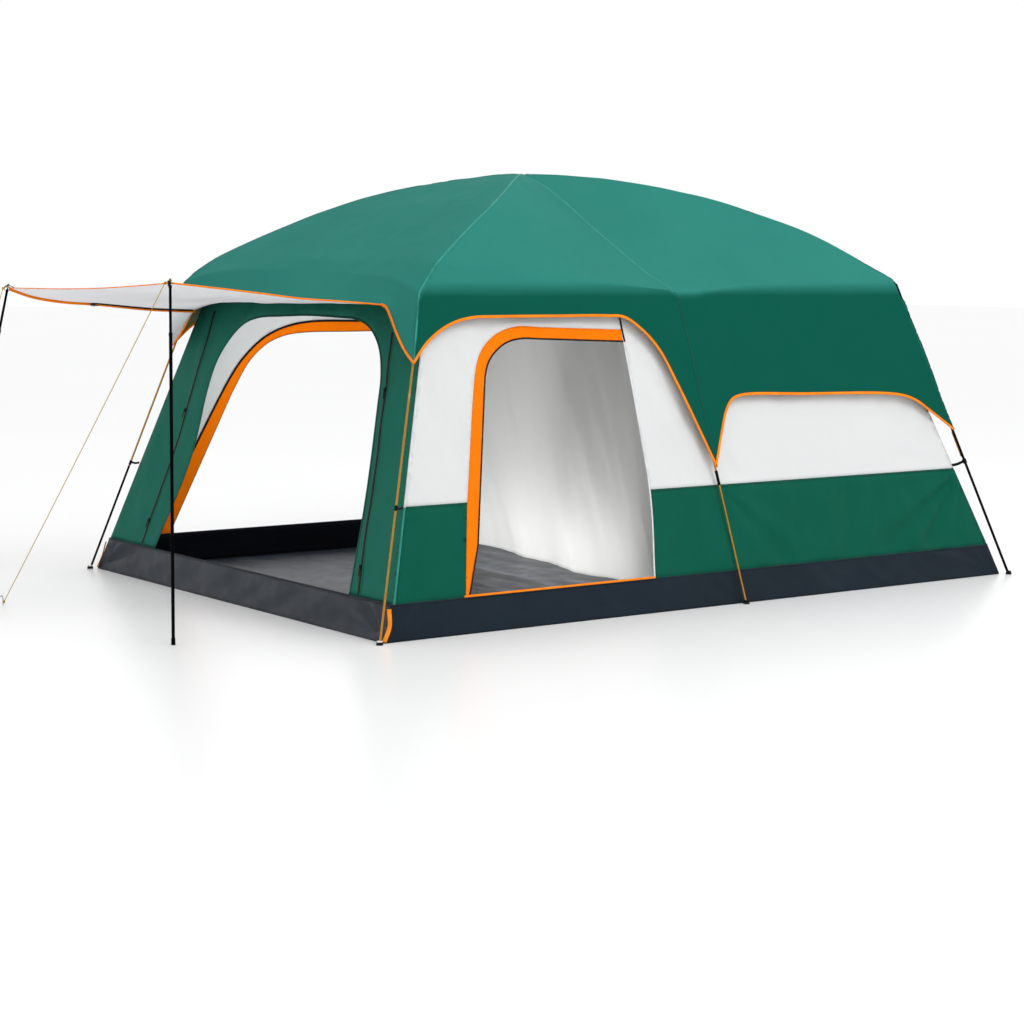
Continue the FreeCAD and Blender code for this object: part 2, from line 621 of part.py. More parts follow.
def build_fly_piping():
    """The bound lower edges of the flaps: round cords just outside the flap's cloth."""
    lift = PIPING_RADIUS + 0.5
    side = [[(-1780, 1322), (-1690, 1405), (-1560, 1482), (-1440, 1516), (-1300, 1520), (-560, 1521),
             (-440, 1516), (-375, 1484), (-320, 1432), (-230, 1320), (-120, 1100), (20, 775)],
            [(60, 760), (95, 840), (150, 965), (190, 1036), (250, 1080), (340, 1087), (1400, 1064),
             (1560, 1042), (1660, 1006), (1740, 955), (1885, 860)]]
    cords = [swept([on_side_flap(y, z, lift) for y, z in route], PIPING_RADIUS) for route in side]
    half = [on_rear_flap(x, z, lift) for x, z in ((1320, 868), (1190, 956), (1110, 1018), (1000, 1060),
                                                  (860, 1075))]
    rear = swept(half + [flipped(point) for point in reversed(half)], PIPING_RADIUS)
    save("fly_piping", rear, *cords, *[mirrored(cord) for cord in cords])


# ---- awning ---------------------------------------------------------------------------------
def awning_edges(inset=0.0):
    """The near and the far side edge of the awning, from the hinge line to the front corners."""
    shift = Vector(inset, 0, 0)
    near = [Vector(1000, HINGE_Y - 6, 1582), Vector(1000, -2330, 1612), Vector(1000, -2974, 1690)]
    far = [Vector(-988, HINGE_Y - 6, 1578), Vector(-955, -2370, 1545), Vector(-926, -2924, 1638)]
    return [point - shift for point in near], [point + shift for point in far]


def build_awning():
    near, far = awning_edges()
    save("awning_sheet", ruled_panel(arc(*near), arc(*far)))

    cords = []
    for side in awning_edges(inset=-(PIPING_RADIUS + 0.6)):
        edge = arc(*side)
        circle = Part.makeCircle(PIPING_RADIUS, side[0], edge.tangentAt(edge.FirstParameter))
        cords.append(Part.Wire([edge]).makePipeShell([Part.Wire(circle)], True, True))
    ahead = PIPING_RADIUS + 1
    cords.append(cylinder(near[2] + Vector(-20, -ahead, -2), far[2] + Vector(20, -ahead, -1), PIPING_RADIUS))
    save("awning_piping", *cords)

    edge = arc(*far)
    span = edge.LastParameter - edge.FirstParameter
    on_edge = [edge.valueAt(edge.FirstParameter + share * span) for share in ZIP_SHARES]
    tape = []
    for inset in ZIP_INSETS:
        tape.append(arc(*[point + Vector(inset, 0, -CLOTH - GAP) for point in on_edge]))
    save("awning_zip", Part.makeRuledSurface(*tape).extrude(-UP))

    rings = []
    for corner in (NEAR_CORNER, FAR_CORNER):
        base = corner - UP * (GROMMET_THICKNESS / 2)
        rings.append(cylinder(base, base + UP * GROMMET_THICKNESS, GROMMET_RADIUS, GROMMET_HOLE))
    save("awning_grommets", *rings)


def awning_pole(name, corner, foot):
    """A telescopic pole: the upper tube with its spike, and the lower tube with its rubber foot."""
    down = (foot - corner).normalize()
    length = (foot - corner).Length
    tube_top = corner + down * SHOULDER_DROP
    bore = UPPER_TUBE_RADIUS - POLE_WALL
    upper = cylinder(tube_top, tube_top + down * UPPER_TUBE_LENGTH, UPPER_TUBE_RADIUS, bore)
    plug = cylinder(tube_top, tube_top + down * PLUG_LENGTH, bore)
    spike = cylinder(tube_top, corner - down * SPIKE_RISE, SPIKE_RADIUS)
    knob = Part.makeSphere(SPIKE_RADIUS + 1.5, corner - down * SPIKE_RISE)
    save(name + "_upper", fused([upper, plug, spike, knob]))

    lower_top = corner + down * UPPER_TUBE_SHOWN
    boot_top = foot - down * BOOT_LENGTH
    tube = cylinder(lower_top, boot_top, LOWER_TUBE_RADIUS, LOWER_TUBE_BORE)
    collar = cylinder(lower_top, lower_top + down * COLLAR_LENGTH, LOWER_TUBE_RADIUS + 1, LOWER_TUBE_BORE)
    boot = cylinder(boot_top, foot, LOWER_TUBE_RADIUS + 2)
    save(name + "_lower", fused([tube, collar, boot]))
    print(name, "down", [round(value, 4) for value in down], "length", round(length))


def build_guylines():
    for name, route in (("guyline_near", GUYLINE_NEAR), ("guyline_far", GUYLINE_FAR)):
        save(name, swept(route, GUYLINE_RADIUS, name))


def peg(base, towards):
    """The part of a steel peg that stands out of the ground, with its hook turned away from the line."""
    lean = base - towards
    lean.z = 0
    lean = lean.normalize()
    top = base + UP * 40
    bend = top + UP * 10 + lean * 4
    hook_end = top + UP * 2 + lean * 22
    return swept([base, top, bend + lean * 8, hook_end], PEG_RADIUS)


def build_pegs():
    save("ground_pegs", peg(NEAR_PEG, GUYLINE_NEAR[0]), peg(FAR_PEG, GUYLINE_FAR[0]))


def main():
    os.makedirs("parts", exist_ok=True)
    build_frame()
    build_clips()
    build_corner_straps()
    build_tub()
    build_side_walls()
    build_end_walls()
    build_ceiling()
    build_divider()
    build_zips()
    build_fly_roof()
    build_flaps()
    build_fly_piping()
    build_awning()
    awning_pole("pole_near", NEAR_CORNER, NEAR_POLE_FOOT)
    awning_pole("pole_far", FAR_CORNER, FAR_POLE_FOOT)
    build_guylines()
    build_pegs()


main()
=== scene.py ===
"""The look of a cabin tent on bent poles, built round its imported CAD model: fly sheet with bound arches,
inner tent with a tub floor and open doors, curtain, awning on telescopic poles, guylines, frame.

Metres, in the CAD model's frame: +Z up, the awning faces -Y, the near long wall is at +X.
"""

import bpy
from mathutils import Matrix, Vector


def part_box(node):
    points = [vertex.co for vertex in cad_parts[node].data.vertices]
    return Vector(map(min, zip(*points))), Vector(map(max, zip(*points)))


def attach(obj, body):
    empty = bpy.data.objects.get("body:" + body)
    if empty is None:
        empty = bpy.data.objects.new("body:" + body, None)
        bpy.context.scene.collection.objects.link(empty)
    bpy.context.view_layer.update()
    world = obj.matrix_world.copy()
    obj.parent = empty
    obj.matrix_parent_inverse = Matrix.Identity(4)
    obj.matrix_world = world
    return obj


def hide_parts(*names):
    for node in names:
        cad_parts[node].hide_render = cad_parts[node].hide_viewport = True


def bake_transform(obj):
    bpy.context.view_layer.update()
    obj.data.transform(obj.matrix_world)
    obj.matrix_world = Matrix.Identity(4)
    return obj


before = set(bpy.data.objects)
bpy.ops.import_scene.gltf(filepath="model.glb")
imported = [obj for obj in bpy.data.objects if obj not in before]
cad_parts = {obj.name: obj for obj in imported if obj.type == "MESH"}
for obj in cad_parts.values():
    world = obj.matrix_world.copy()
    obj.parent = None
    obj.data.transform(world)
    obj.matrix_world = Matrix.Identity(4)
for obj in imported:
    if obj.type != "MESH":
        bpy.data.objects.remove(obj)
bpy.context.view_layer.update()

import math

import bmesh
import bpy
import numpy as np
from mathutils import Matrix, Vector
from mathutils.bvhtree import BVHTree
from mathutils.geometry import delaunay_2d_cdt

# ---- driving dimensions, as in the CAD model ----------------------------------------------------
HALF_WIDTH = 1.525
HALF_LENGTH = 2.15
SKIRT_TOP = 0.176
SKIRT_INSET_SIDE = 0.036
SKIRT_INSET_FRONT = 0.058
SKIRT_INSET_REAR = 0.073
WALL_BOTTOM = 0.177
COLOUR_LINE = 0.62
WALL_TOP_FRONT = 1.60
WALL_TOP_REAR = 1.65
SIDE_WALL = (1.539, -0.266)       # x of the side wall on the ground, and its slope over height
FRONT_WALL = (-2.136, 0.308)      # the same for y of the front wall
REAR_WALL = (2.140, -0.390)
SIDE_FLAP = (1.5665, -0.25)       # x of the side flaps, and its slope over height
REAR_FLAP = (2.202, -0.334)

FRONT_FOOT, FRONT_HUB = (1.544, -2.189, 0), (1.149, -1.696, 1.622)
MIDDLE_FOOT, MIDDLE_HUB = (1.556, 0.125, 0), (1.148, -0.053, 1.622)
REAR_FOOT, REAR_HUB = (1.559, 2.191, 0), (1.133, 1.630, 1.680)

CROWN = (0, -0.228, 2.289)
SHOULDER = (1.142, -1.592, 1.800)
EAVE_MIDDLE = (1.154, -0.056, 1.655)
EAVE_REAR = (1.138, 1.632, 1.712)
RIDGE_FRONT = [CROWN, (0.052, -0.276, 2.287), (0.400, -0.580, 2.240), (0.764, -0.979, 2.106),
               (0.978, -1.312, 1.950), SHOULDER]
RIDGE_MIDDLE = [CROWN, (0.070, -0.217, 2.260), (0.217, -0.197, 2.197), (0.560, -0.145, 1.975),
                (0.966, -0.084, 1.722), EAVE_MIDDLE]
RIDGE_REAR = [CROWN, (0.038, -0.166, 2.288), (0.232, 0.148, 2.272), (0.621, 0.783, 2.135),
              (0.882, 1.208, 1.959), EAVE_REAR]

# Lower edges of the flaps, as (y, z) on the side and (x, z) at the back
TIP_FRONT, TIP_MIDDLE, TIP_REAR = (-1.800, 1.300), (0.045, 0.720), (1.909, 0.844)
ARCH_FRONT = [TIP_FRONT, (-1.69, 1.408), (-1.55, 1.486), (-1.42, 1.517), (-1.25, 1.521), (-0.90, 1.521),
              (-0.55, 1.519), (-0.44, 1.511), (-0.33, 1.442), (-0.24, 1.345), (-0.146, 1.159), TIP_MIDDLE]
ARCH_REAR = [TIP_MIDDLE, (0.086, 0.814), (0.128, 0.912), (0.180, 1.018), (0.232, 1.070), (0.305, 1.089),
             (0.777, 1.081), (1.40, 1.066), (1.555, 1.046), (1.645, 1.014), (1.731, 0.960),
             (1.817, 0.905), TIP_REAR]
ARCH_BACK = [(0, 1.078), (0.70, 1.078), (0.90, 1.070), (1.05, 1.040), (1.175, 0.965), (1.352, 0.845)]
FRONT_EDGE_Y = -1.800

# Side doorways, as (y, z) on the side wall: the band's outer and inner edges, and the jamb
DOORS = {
    "right": ([(-1.657, 0.177), (-1.570, 0.620), (-1.411, 1.241), (-1.375, 1.325), (-1.328, 1.382),
               (-1.24, 1.440), (-1.11, 1.474), (-0.95, 1.468), (-0.430, 1.450)],
              [(-1.636, 0.177), (-1.541, 0.418), (-1.352, 1.228), (-1.322, 1.292), (-1.272, 1.345),
               (-1.19, 1.393), (-1.10, 1.412), (-0.95, 1.408), (-0.431, 1.388)],
              [(-0.430, 1.450), (-0.405, 0.620), (-0.461, 0.177)]),
    "left": ([(-1.765, 0.177), (-1.637, 0.620), (-1.427, 1.104), (-1.355, 1.221), (-1.238, 1.337),
              (-1.113, 1.398), (-0.948, 1.431), (-0.60, 1.434), (-0.240, 1.435)],
             [(-1.700, 0.177), (-1.614, 0.418), (-1.400, 1.015), (-1.311, 1.200), (-1.211, 1.301),
              (-1.105, 1.349), (-0.98, 1.368), (-0.60, 1.371), (-0.241, 1.373)],
             [(-0.240, 1.435), (-0.215, 0.620), (-0.271, 0.177)]),
}

# Front door, as (x, z) on the front wall
DOOR_RIGHT = [(1.108, 0.177), (1.030, 0.66), (0.930, 1.08), (0.893, 1.22), (0.815, 1.355), (0.70, 1.447),
              (0.56, 1.495), (0.30, 1.506)]
DOOR_LEFT = [(-0.943, 0.177), (-0.799, 0.69), (-0.816, 1.08), (-0.795, 1.23), (-0.72, 1.35),
             (-0.61, 1.44), (-0.47, 1.48), (-0.20, 1.497)]
ZIP_LEFT = [(-0.972, 1.500), (-0.983, 1.010), (-1.100, 0.190)]
ZIP_RIGHT = [(0.900, 1.440), (0.990, 1.090), (1.185, 0.190)]

CEILING_TOP = (0, -0.228, 2.100)
CEILING_CORNERS = [(1.104, -1.632, 1.606), (1.098, -0.056, 1.630), (1.090, 1.482, 1.656)]
DIVIDER_FLOOR = [(-1.470, 0.330, 0.004), (-0.600, 0.235, 0.004), (0.150, 0.075, 0.004),
                 (0.700, 0.020, 0.004), (1.511, -0.395, 0.004)]
DIVIDER_TOP = [(-1.085, 0.330, 1.590), (-0.480, 0.255, 1.780), (0.060, 0.130, 1.920),
               (0.560, 0.040, 1.770),
               (SIDE_WALL[0] + SIDE_WALL[1] * 1.59 - 0.008, -0.375, 1.590)]

# Awning's corners, its poles' feet, and the guylines
NEAR_CORNER, FAR_CORNER = (1.002, -2.990, 1.692), (-0.930, -2.940, 1.640)
NEAR_POLE_FOOT, FAR_POLE_FOOT = (1.002, -2.990, 0), (-0.950, -3.300, 0.0023)
GUYLINE_NEAR = [(0.985, -3.008, 1.690), (0.222, -3.086, 0.836), (-0.541, -3.161, 0.018)]
GUYLINE_FAR = [(-0.938, -2.964, 1.634), (-0.951, -3.226, 0.808), (-0.963, -3.478, 0.018)]
GUYLINE_DIAMETER = 0.004

CLOTH = 0.0012                    # thickness of the cloth
MESH_STEP = 0.028                 # between the vertices of a cloth panel
BINDING_WIDTH = 0.016
BINDING_THICK = 0.0042
CURVE_STEPS = 24                  # places worked out between two given points of a curve
SIDES = (("right", np.array([1, 1, 1])), ("left", np.array([-1, 1, 1])))


# ---- curves -------------------------------------------------------------------------------------
def through(points, count):
    """count points evenly spaced along a smooth curve through the given ones."""
    p = np.array(points, float)
    p = np.vstack([2 * p[0] - p[1], p, 2 * p[-1] - p[-2]])
    knots = np.concatenate([[0], np.cumsum(np.sqrt(np.linalg.norm(np.diff(p, axis=0), axis=1)))])
    dense = []
    for i in range(1, len(p) - 2):
        t0, t1, t2, t3 = knots[i - 1:i + 3]
        t = np.linspace(t1, t2, CURVE_STEPS, endpoint=False)[:, None]
        a1 = (t1 - t) / (t1 - t0) * p[i - 1] + (t - t0) / (t1 - t0) * p[i]
        a2 = (t2 - t) / (t2 - t1) * p[i] + (t - t1) / (t2 - t1) * p[i + 1]
        a3 = (t3 - t) / (t3 - t2) * p[i + 1] + (t - t2) / (t3 - t2) * p[i + 2]
        b1 = (t2 - t) / (t2 - t0) * a1 + (t - t0) / (t2 - t0) * a2
        b2 = (t3 - t) / (t3 - t1) * a2 + (t - t1) / (t3 - t1) * a3
        dense.append((t2 - t) / (t2 - t1) * b1 + (t - t1) / (t2 - t1) * b2)
    return evenly(np.vstack(dense + [p[-2:-1]]), count)


def distance_along(p):
    """Each point's distance from the first, along the straight runs through them."""
    return np.concatenate([[0], np.cumsum(np.linalg.norm(np.diff(p, axis=0), axis=1))])


def evenly(points, count):
    """count points evenly spaced along straight runs through the given ones."""
    p = np.array(points, float)
    along = distance_along(p)
    where = np.linspace(0, along[-1], count)
    return np.stack([np.interp(where, along, p[:, k]) for k in range(p.shape[1])], axis=1)


def run_length(points):
    """The length of the straight runs through the points."""
    return np.linalg.norm(np.diff(np.array(points, float), axis=0), axis=1).sum()


def spaced(points, step):
    """The same line with points about one step apart."""
    return evenly(points, max(2, round(run_length(points) / step) + 1))


def on_side(points, wall=SIDE_WALL):
    """(y, z) points laid on a leaning side wall or flap."""
    p = np.atleast_2d(np.array(points, float))
    return np.stack([wall[0] + wall[1] * p[:, 1], p[:, 0], p[:, 1]], axis=1)


def on_end(points, wall=FRONT_WALL):
    """(x, z) points laid on a leaning end wall or flap."""
    p = np.atleast_2d(np.array(points, float))
    return np.stack([p[:, 0], wall[0] + wall[1] * p[:, 1], p[:, 1]], axis=1)


def mirror(points):
    """The same points on the left."""
    return np.array(points, float) * [-1, 1, 1]


def leg_point(foot, hub, z):
    """The place at height z on the straight line from foot to hub."""
    foot, hub = np.array(foot, float), np.array(hub, float)
    return foot + (hub - foot) * ((z - foot[2]) / (hub[2] - foot[2]))


# ---- relief: how far cloth stands off its plain surface -------------------------------------------
def waves(p, size, depth, seed, stretch=(1, 1, 1)):
    """Soft random swells of about one size. A stretch below 1 makes them longer that way."""
    rng = np.random.default_rng(seed)
    q = p * np.array(stretch[:p.shape[1]])
    q = q + 0.25 * size * np.sin(q[:, ::-1] * 2 * math.pi / (2.7 * size) + rng.uniform(0, 6, p.shape[1]))
    total = np.zeros(len(p))
    for _ in range(8):
        way = rng.normal(size=p.shape[1])
        way *= 2 * math.pi / (size * rng.uniform(0.7, 1.8) * np.linalg.norm(way))
        total += np.sin(q @ way + rng.uniform(0, 2 * math.pi))
    return depth * total / 2.8


def fan(p, root, toward, spread, reach, folds, depth, seed=1):
    """Folds that run out from a pulled point."""
    rel = p - np.array(root, float)
    way = np.array(toward, float) / np.linalg.norm(toward)
    r = np.linalg.norm(rel, axis=1)
    turn = np.arctan2(way[0] * rel[:, 1] - way[1] * rel[:, 0], rel @ way)
    phase = np.random.default_rng(seed).uniform(0, 6)
    ridge = np.sin(turn * folds + phase + 0.6 * np.sin(turn * folds * 0.37 + phase))
    return depth * ridge * np.exp(-(turn / spread) ** 2 - (r / reach) ** 2) * r / (r + 0.06)


def edge_distance(p, outline):
    """How far each point is from the outline's runs."""
    near = np.full(len(p), np.inf)
    for start, end in zip(outline, np.roll(outline, -1, axis=0)):
        run = end - start
        t = np.clip(((p - start) @ run) / max(run @ run, 1e-12), 0, 1)
        near = np.minimum(near, np.linalg.norm(p - start - t[:, None] * run, axis=1))
    return near


# ---- materials ----------------------------------------------------------------------------------
def linear(code):
    """A six-figure colour code as the linear colour that shaders take."""
    parts = [int(code[i:i + 2], 16) / 255 for i in (0, 2, 4)]
    return tuple(c / 12.92 if c <= 0.04045 else ((c + 0.055) / 1.055) ** 2.4 for c in parts) + (1.0,)


class Shader:
    """A node tree with one Principled shader, and short calls for the nodes that feed it."""

    def __init__(self, name, roughness, metallic=0.0, specular=0.5, sheen=0.0):
        self.material = bpy.data.materials.new(name)
        self.material.use_nodes = True
        self.tree = self.material.node_tree
        self.out = self.tree.nodes["Principled BSDF"]
        for socket, value in {"Roughness": roughness, "Metallic": metallic, "Specular IOR Level": specular,
                              "Sheen Weight": sheen, "Sheen Roughness": 0.4}.items():
            self.out.inputs[socket].default_value = value
        self.place = self.coordinates("Object")
        self.bumps = None

    def node(self, kind, links=(), **values):
        """A new node, with sockets linked or set, and its own settings."""
        new = self.tree.nodes.new("ShaderNode" + kind)
        for key, value in values.items():
            if key in new.inputs:
                new.inputs[key].default_value = value
            else:
                setattr(new, key, value)
        for socket, source in dict(links).items():
            self.tree.links.new(source, new.inputs[socket])
        return new

    def coordinates(self, kind):
        return self.tree.nodes.new("ShaderNodeTexCoord").outputs[kind]

    def mapped(self, source, scale, turn=0.0):
        """Coordinates stretched along each axis and turned about the third."""
        return self.node("Mapping", {"Vector": source}, Scale=scale, Rotation=(0, 0, turn)).outputs["Vector"]

    def parts(self, source):
        """The X, Y and Z of a vector."""
        return self.node("SeparateXYZ", {"Vector": source}).outputs

    def noise(self, scale, detail=3.0, source=None, distortion=0.0):
        links = {"Vector": source or self.place}
        return self.node("TexNoise", links, Scale=scale, Detail=detail, Distortion=distortion).outputs["Fac"]

    def bands(self, source, axis, pitch):
        """Parallel ridges across an axis, one to each pitch."""
        return self.node("TexWave", {"Vector": source}, bands_direction=axis,
                         Scale=math.pi / (10 * pitch)).outputs["Fac"]

    def ramp(self, source, low, high, at=(0.3, 0.7)):
        new = self.node("ValToRGB", {"Fac": source})
        for element, colour, position in zip(new.color_ramp.elements, (low, high), at):
            element.color = colour
            element.position = position
        return new.outputs["Color"]

    def between(self, source, low, high, from_low=0.3, from_high=0.7):
        """A value carried from one range to another, and held at its ends."""
        limits = {"From Min": from_low, "From Max": from_high, "To Min": low, "To Max": high}
        return self.node("MapRange", {"Value": source}, **limits).outputs["Result"]

    def maths(self, operation, *values):
        """A sum done on sockets and plain numbers."""
        new = self.node("Math", operation=operation)
        for socket, value in zip(new.inputs, values):
            if isinstance(value, float):
                socket.default_value = value
            else:
                self.tree.links.new(value, socket)
        return new.outputs[0]

    def sum(self, a, b, share=1.0):
        return self.maths("ADD", a, self.maths("MULTIPLY", b, share))

    def mix(self, share, under, over):
        """The colour of a socket, with a plain colour over it as far as share says."""
        new = self.node("Mix", data_type="RGBA")
        self.tree.links.new(share, new.inputs["Factor"])
        self.tree.links.new(under, new.inputs[6])
        new.inputs[7].default_value = over
        return new.outputs[2]

    def bump(self, height, distance, strength=1.0):
        """Relief on top of the relief laid before it."""
        links = {"Height": height}
        if self.bumps is not None:
            links["Normal"] = self.bumps
        self.bumps = self.node("Bump", links, Distance=distance, Strength=strength).outputs["Normal"]
        self.feed("Normal", self.bumps)

    def feed(self, socket, source):
        self.tree.links.new(source, self.out.inputs[socket])

    def weave(self, pitch):
        """Threads that cross, in whichever two axes a panel lies."""
        x, y, z = (self.bands(self.place, axis, pitch) for axis in "XYZ")
        return self.sum(self.sum(x, y), z)


def shade(colour, factor):
    """A colour made darker or lighter."""
    return tuple(min(1.0, c * factor) for c in colour[:3]) + (1.0,)


def cloth(name, code, roughness=0.62, sheen=0.03, spread=0.08, pitch=0.0012, crinkle=0.0008, specular=0.10,
          hanging=None):
    """Woven tent cloth: threads, fine creases, uneven dye. Hanging, if given, is a darker colour painted as
    shade on the steep faces below the eave.
    """
    colour = linear(code)
    s = Shader(name, roughness, specular=specular, sheen=sheen)
    dye = s.sum(s.noise(1.6, 4.0), s.noise(23.0, 2.0), 0.25)
    base = s.ramp(dye, shade(colour, 1 - spread), shade(colour, 1 + spread), (0.42, 0.83))
    # Painted shade: steep faces below the eave take the darker hanging colour, standing in for the lesser
    # light that falls on them.
    if hanging:
        facing = s.parts(s.coordinates("Normal"))
        steep = s.maths("MAXIMUM", s.maths("ABSOLUTE", facing["X"]), facing["Y"])
        low = s.between(s.parts(s.place)["Z"], 1.0, 0.0, 1.625, 1.70)
        base = s.mix(s.maths("MULTIPLY", s.between(steep, 0.0, 1.0, 0.60, 0.92), low), base, linear(hanging))
    s.feed("Base Color", base)
    s.feed("Roughness", s.between(s.noise(7.0, 3.0), roughness - 0.06, roughness + 0.07))
    s.bump(s.noise(9.0, 5.0, distortion=0.6), crinkle * 6, 0.35)
    s.bump(s.noise(46.0, 3.0, distortion=1.1), crinkle, 0.4)
    s.bump(s.weave(pitch), 0.00025, 0.4)
    return s.material


STITCH = 0.006                    # from one stitch to the next
TOOTH = 0.003                     # from one tooth of a zip to the next


def tape(name, code, thread, pitch=0.0035):
    """Woven tape laid along its UV, with a ribbed face and a row of stitches near each edge."""
    colour = linear(code)
    s = Shader(name, 0.55, specular=0.12, sheen=0.03)
    lay = s.coordinates("UV")
    face = s.ramp(s.noise(14.0, 4.0), shade(colour, 0.86), shade(colour, 1.10), (0.36, 0.7))
    along, across, _ = s.parts(lay)
    dash = s.maths("SINE", s.maths("MULTIPLY", along, 2 * math.pi / STITCH))
    row = s.between(s.maths("COSINE", s.maths("MULTIPLY", across, 4 * math.pi)), 1.0, 0.0, -1.0, -0.93)
    stitches = s.maths("MULTIPLY", s.between(dash, 0.0, 1.0, -0.5, -0.2), row)
    s.feed("Base Color", s.mix(stitches, face, linear(thread)))
    s.bump(stitches, 0.0006, 0.7)
    s.bump(s.bands(lay, "X", pitch), 0.0003, 0.5)
    s.bump(s.noise(60.0, 3.0), 0.0006, 0.4)
    return s.material


def zip_material(name):
    """Black coil zip: woven tape with a row of interlocked teeth down its middle."""
    s = Shader(name, 0.6, specular=0.2, sheen=0.02)
    along, across, _ = s.parts(s.coordinates("UV"))
    away = s.maths("ABSOLUTE", s.maths("SUBTRACT", across, 0.5))
    chain = s.between(away, 1.0, 0.0, 0.10, 0.14)
    teeth = s.maths("SINE", s.maths("MULTIPLY", along, 2 * math.pi / TOOTH))
    raised = s.maths("MULTIPLY", s.between(teeth, 0.3, 1.0, -0.4, 0.4), chain)
    s.feed("Base Color", s.ramp(raised, linear("08090a"), linear("1b1d20"), (0.0, 0.9)))
    s.feed("Roughness", s.between(chain, 0.68, 0.34, 0.0, 1.0))
    s.bump(raised, 0.0012, 0.8)
    s.bump(s.weave(0.001), 0.0002, 0.4)
    return s.material


def lacquer(name, code, roughness=0.3, metallic=0.85, worn="b0a080", grain=0.35, specular=0.5):
    """Lacquered steel tube: faint draw marks along it, handling marks, edges rubbed to the metal."""
    colour = linear(code)
    s = Shader(name, roughness, metallic, specular=specular)
    marks = s.noise(240.0, 4.0, s.mapped(s.place, (1.0, 1.0, 0.03)))
    rubbed = s.noise(11.0, 6.0, distortion=0.8)
    tone = s.ramp(s.sum(marks, rubbed, 0.6), shade(colour, 0.82), shade(colour, 1.16), (0.55, 1.05))
    s.feed("Base Color", s.mix(s.between(rubbed, 0.0, grain, 0.62, 0.72), tone, linear(worn)))
    s.feed("Roughness", s.between(rubbed, roughness - 0.06, roughness + 0.14))
    s.bump(marks, 0.0003, 0.25)
    return s.material


def moulded(name, code, roughness=0.5, specular=0.4):
    """Moulded plastic or rubber: fine grain, faint scuffs."""
    colour = linear(code)
    s = Shader(name, roughness, specular=specular)
    scuff = s.noise(35.0, 5.0, distortion=0.5)
    s.feed("Base Color", s.ramp(scuff, shade(colour, 0.85), shade(colour, 1.35), (0.4, 0.75)))
    s.feed("Roughness", s.between(scuff, roughness - 0.08, roughness + 0.12))
    s.bump(s.noise(420.0, 2.0), 0.0003, 0.3)
    return s.material


def braid(name, code, dark):
    """Braided cord: strands that cross slantwise, laid along the cord's UV."""
    s = Shader(name, 0.8, specular=0.03)
    lay = s.coordinates("UV")
    stretch = (900.0, 14.0, 1.0)
    slants = [s.node("TexWave", {"Vector": s.mapped(lay, stretch, turn)}, Scale=0.35).outputs["Fac"]
              for turn in (0.9, -0.9)]
    strands = s.maths("MAXIMUM", *slants)
    s.feed("Base Color", s.ramp(strands, linear(dark), linear(code), (0.25, 0.8)))
    s.bump(strands, 0.0004, 0.6)
    return s.material


# The fly's hanging colour is painted shade on its flaps; the fly is one cloth of one colour.
FLY = cloth("fly_cloth", "2c796e", 0.70, 0.0, 0.04, specular=0.02, hanging="0a5042")
FLY_INSIDE = cloth("fly_inside", "6f7f5c", 0.7, 0.02, 0.06)
GREEN_WALL = cloth("green_wall", "0b5241", 0.66, 0.0, 0.06, specular=0.05)
FRONT_CLOTH = cloth("front_wall_cloth", "1f6656", 0.66, 0.0, 0.06, specular=0.05)
WHITE_WALL = cloth("white_wall", "d0d2d2", 0.72, 0.02, 0.012)
AWNING_CLOTH = cloth("awning_cloth", "f5f5f7", 0.7, 0.02, 0.012)
# Painted light: the wing's cloth is whiter than the awning's to make up for the shade it hangs in.
WING_CLOTH_PAINTED_LIGHT = cloth("wing_cloth_painted_light", "fafaff", 0.7, 0.02, 0.006)
CURTAIN = cloth("divider_cloth", "d4d4d2", 0.75, 0.02, 0.02)
SKIRT = cloth("tub_cloth", "121f29", 0.42, 0.0, 0.12, 0.0016, 0.0011, 0.12)
SKIRT_FRONT = cloth("tub_front_cloth", "2a3038", 0.45, 0.0, 0.12, 0.0016, 0.0011, 0.2)
SKIRT_INSIDE = cloth("tub_inside", "0b0c11", 0.6, 0.0, 0.12, 0.0016, 0.0011, 0.05)
GROUNDSHEET = cloth("floor_cloth", "262d37", 0.36, 0.0, 0.12, 0.0016, 0.0010, 0.35)
ORANGE = tape("orange_binding", "fb8206", "ffa040")
BAND = cloth("orange_band", "f37602", 0.6, 0.02, 0.05, 0.0010, 0.0012, 0.06)
WEBBING = tape("orange_webbing", "f58d14", "ffb85a", 0.0025)
# Seam tape for the roof ridges and the green corner ribs, lighter than the cloth under it: a painted
# highlight along them.
SEAM_PAINTED_HIGHLIGHT = tape("seam_tape", "33897c", "3a8f82")
# Seam tape on the flaps, darker as painted shade, like the flaps it lies on.
SEAM_FLAP_PAINTED_SHADE = tape("seam_tape_flap_painted_shade", "07483a", "15604f")
SEAM_DARK = tape("seam_tape_dark", "0e4a3b", "1d6350")
SEAM_FRONT = tape("seam_tape_front", "20604f", "2f7664")
SEAM_TUB = tape("seam_tape_tub", "262c34", "40464e")
SEAM_WHITE = tape("seam_tape_white", "d3d4d6", "e6e6e6")
SEAM_BLACK = tape("webbing_black", "0c0d0f", "202226", 0.0025)
ZIP = zip_material("zip_tape")
ZIP_METAL = lacquer("zip_metal", "0c0d0e", 0.42, 0.1, "3a3a3a", 0.3, 0.2)
GOLD = lacquer("gold_tube", "b0802e", 0.30, 0.85, "e8cf94", 0.3)
DARK_TUBE = lacquer("black_leg", "08090a", 0.6, 0.0, "202022", 0.25, 0.04)
BLACK_TUBE = lacquer("black_tube", "030304", 0.6, 0.0, "141416", 0.2, 0.03)
ROD = moulded("glass_fibre", "2a2b2e", 0.3, 0.5)
PLASTIC = moulded("black_plastic", "08090b", specular=0.08)
RUBBER = moulded("foot_rubber", "151618", 0.75, 0.2)
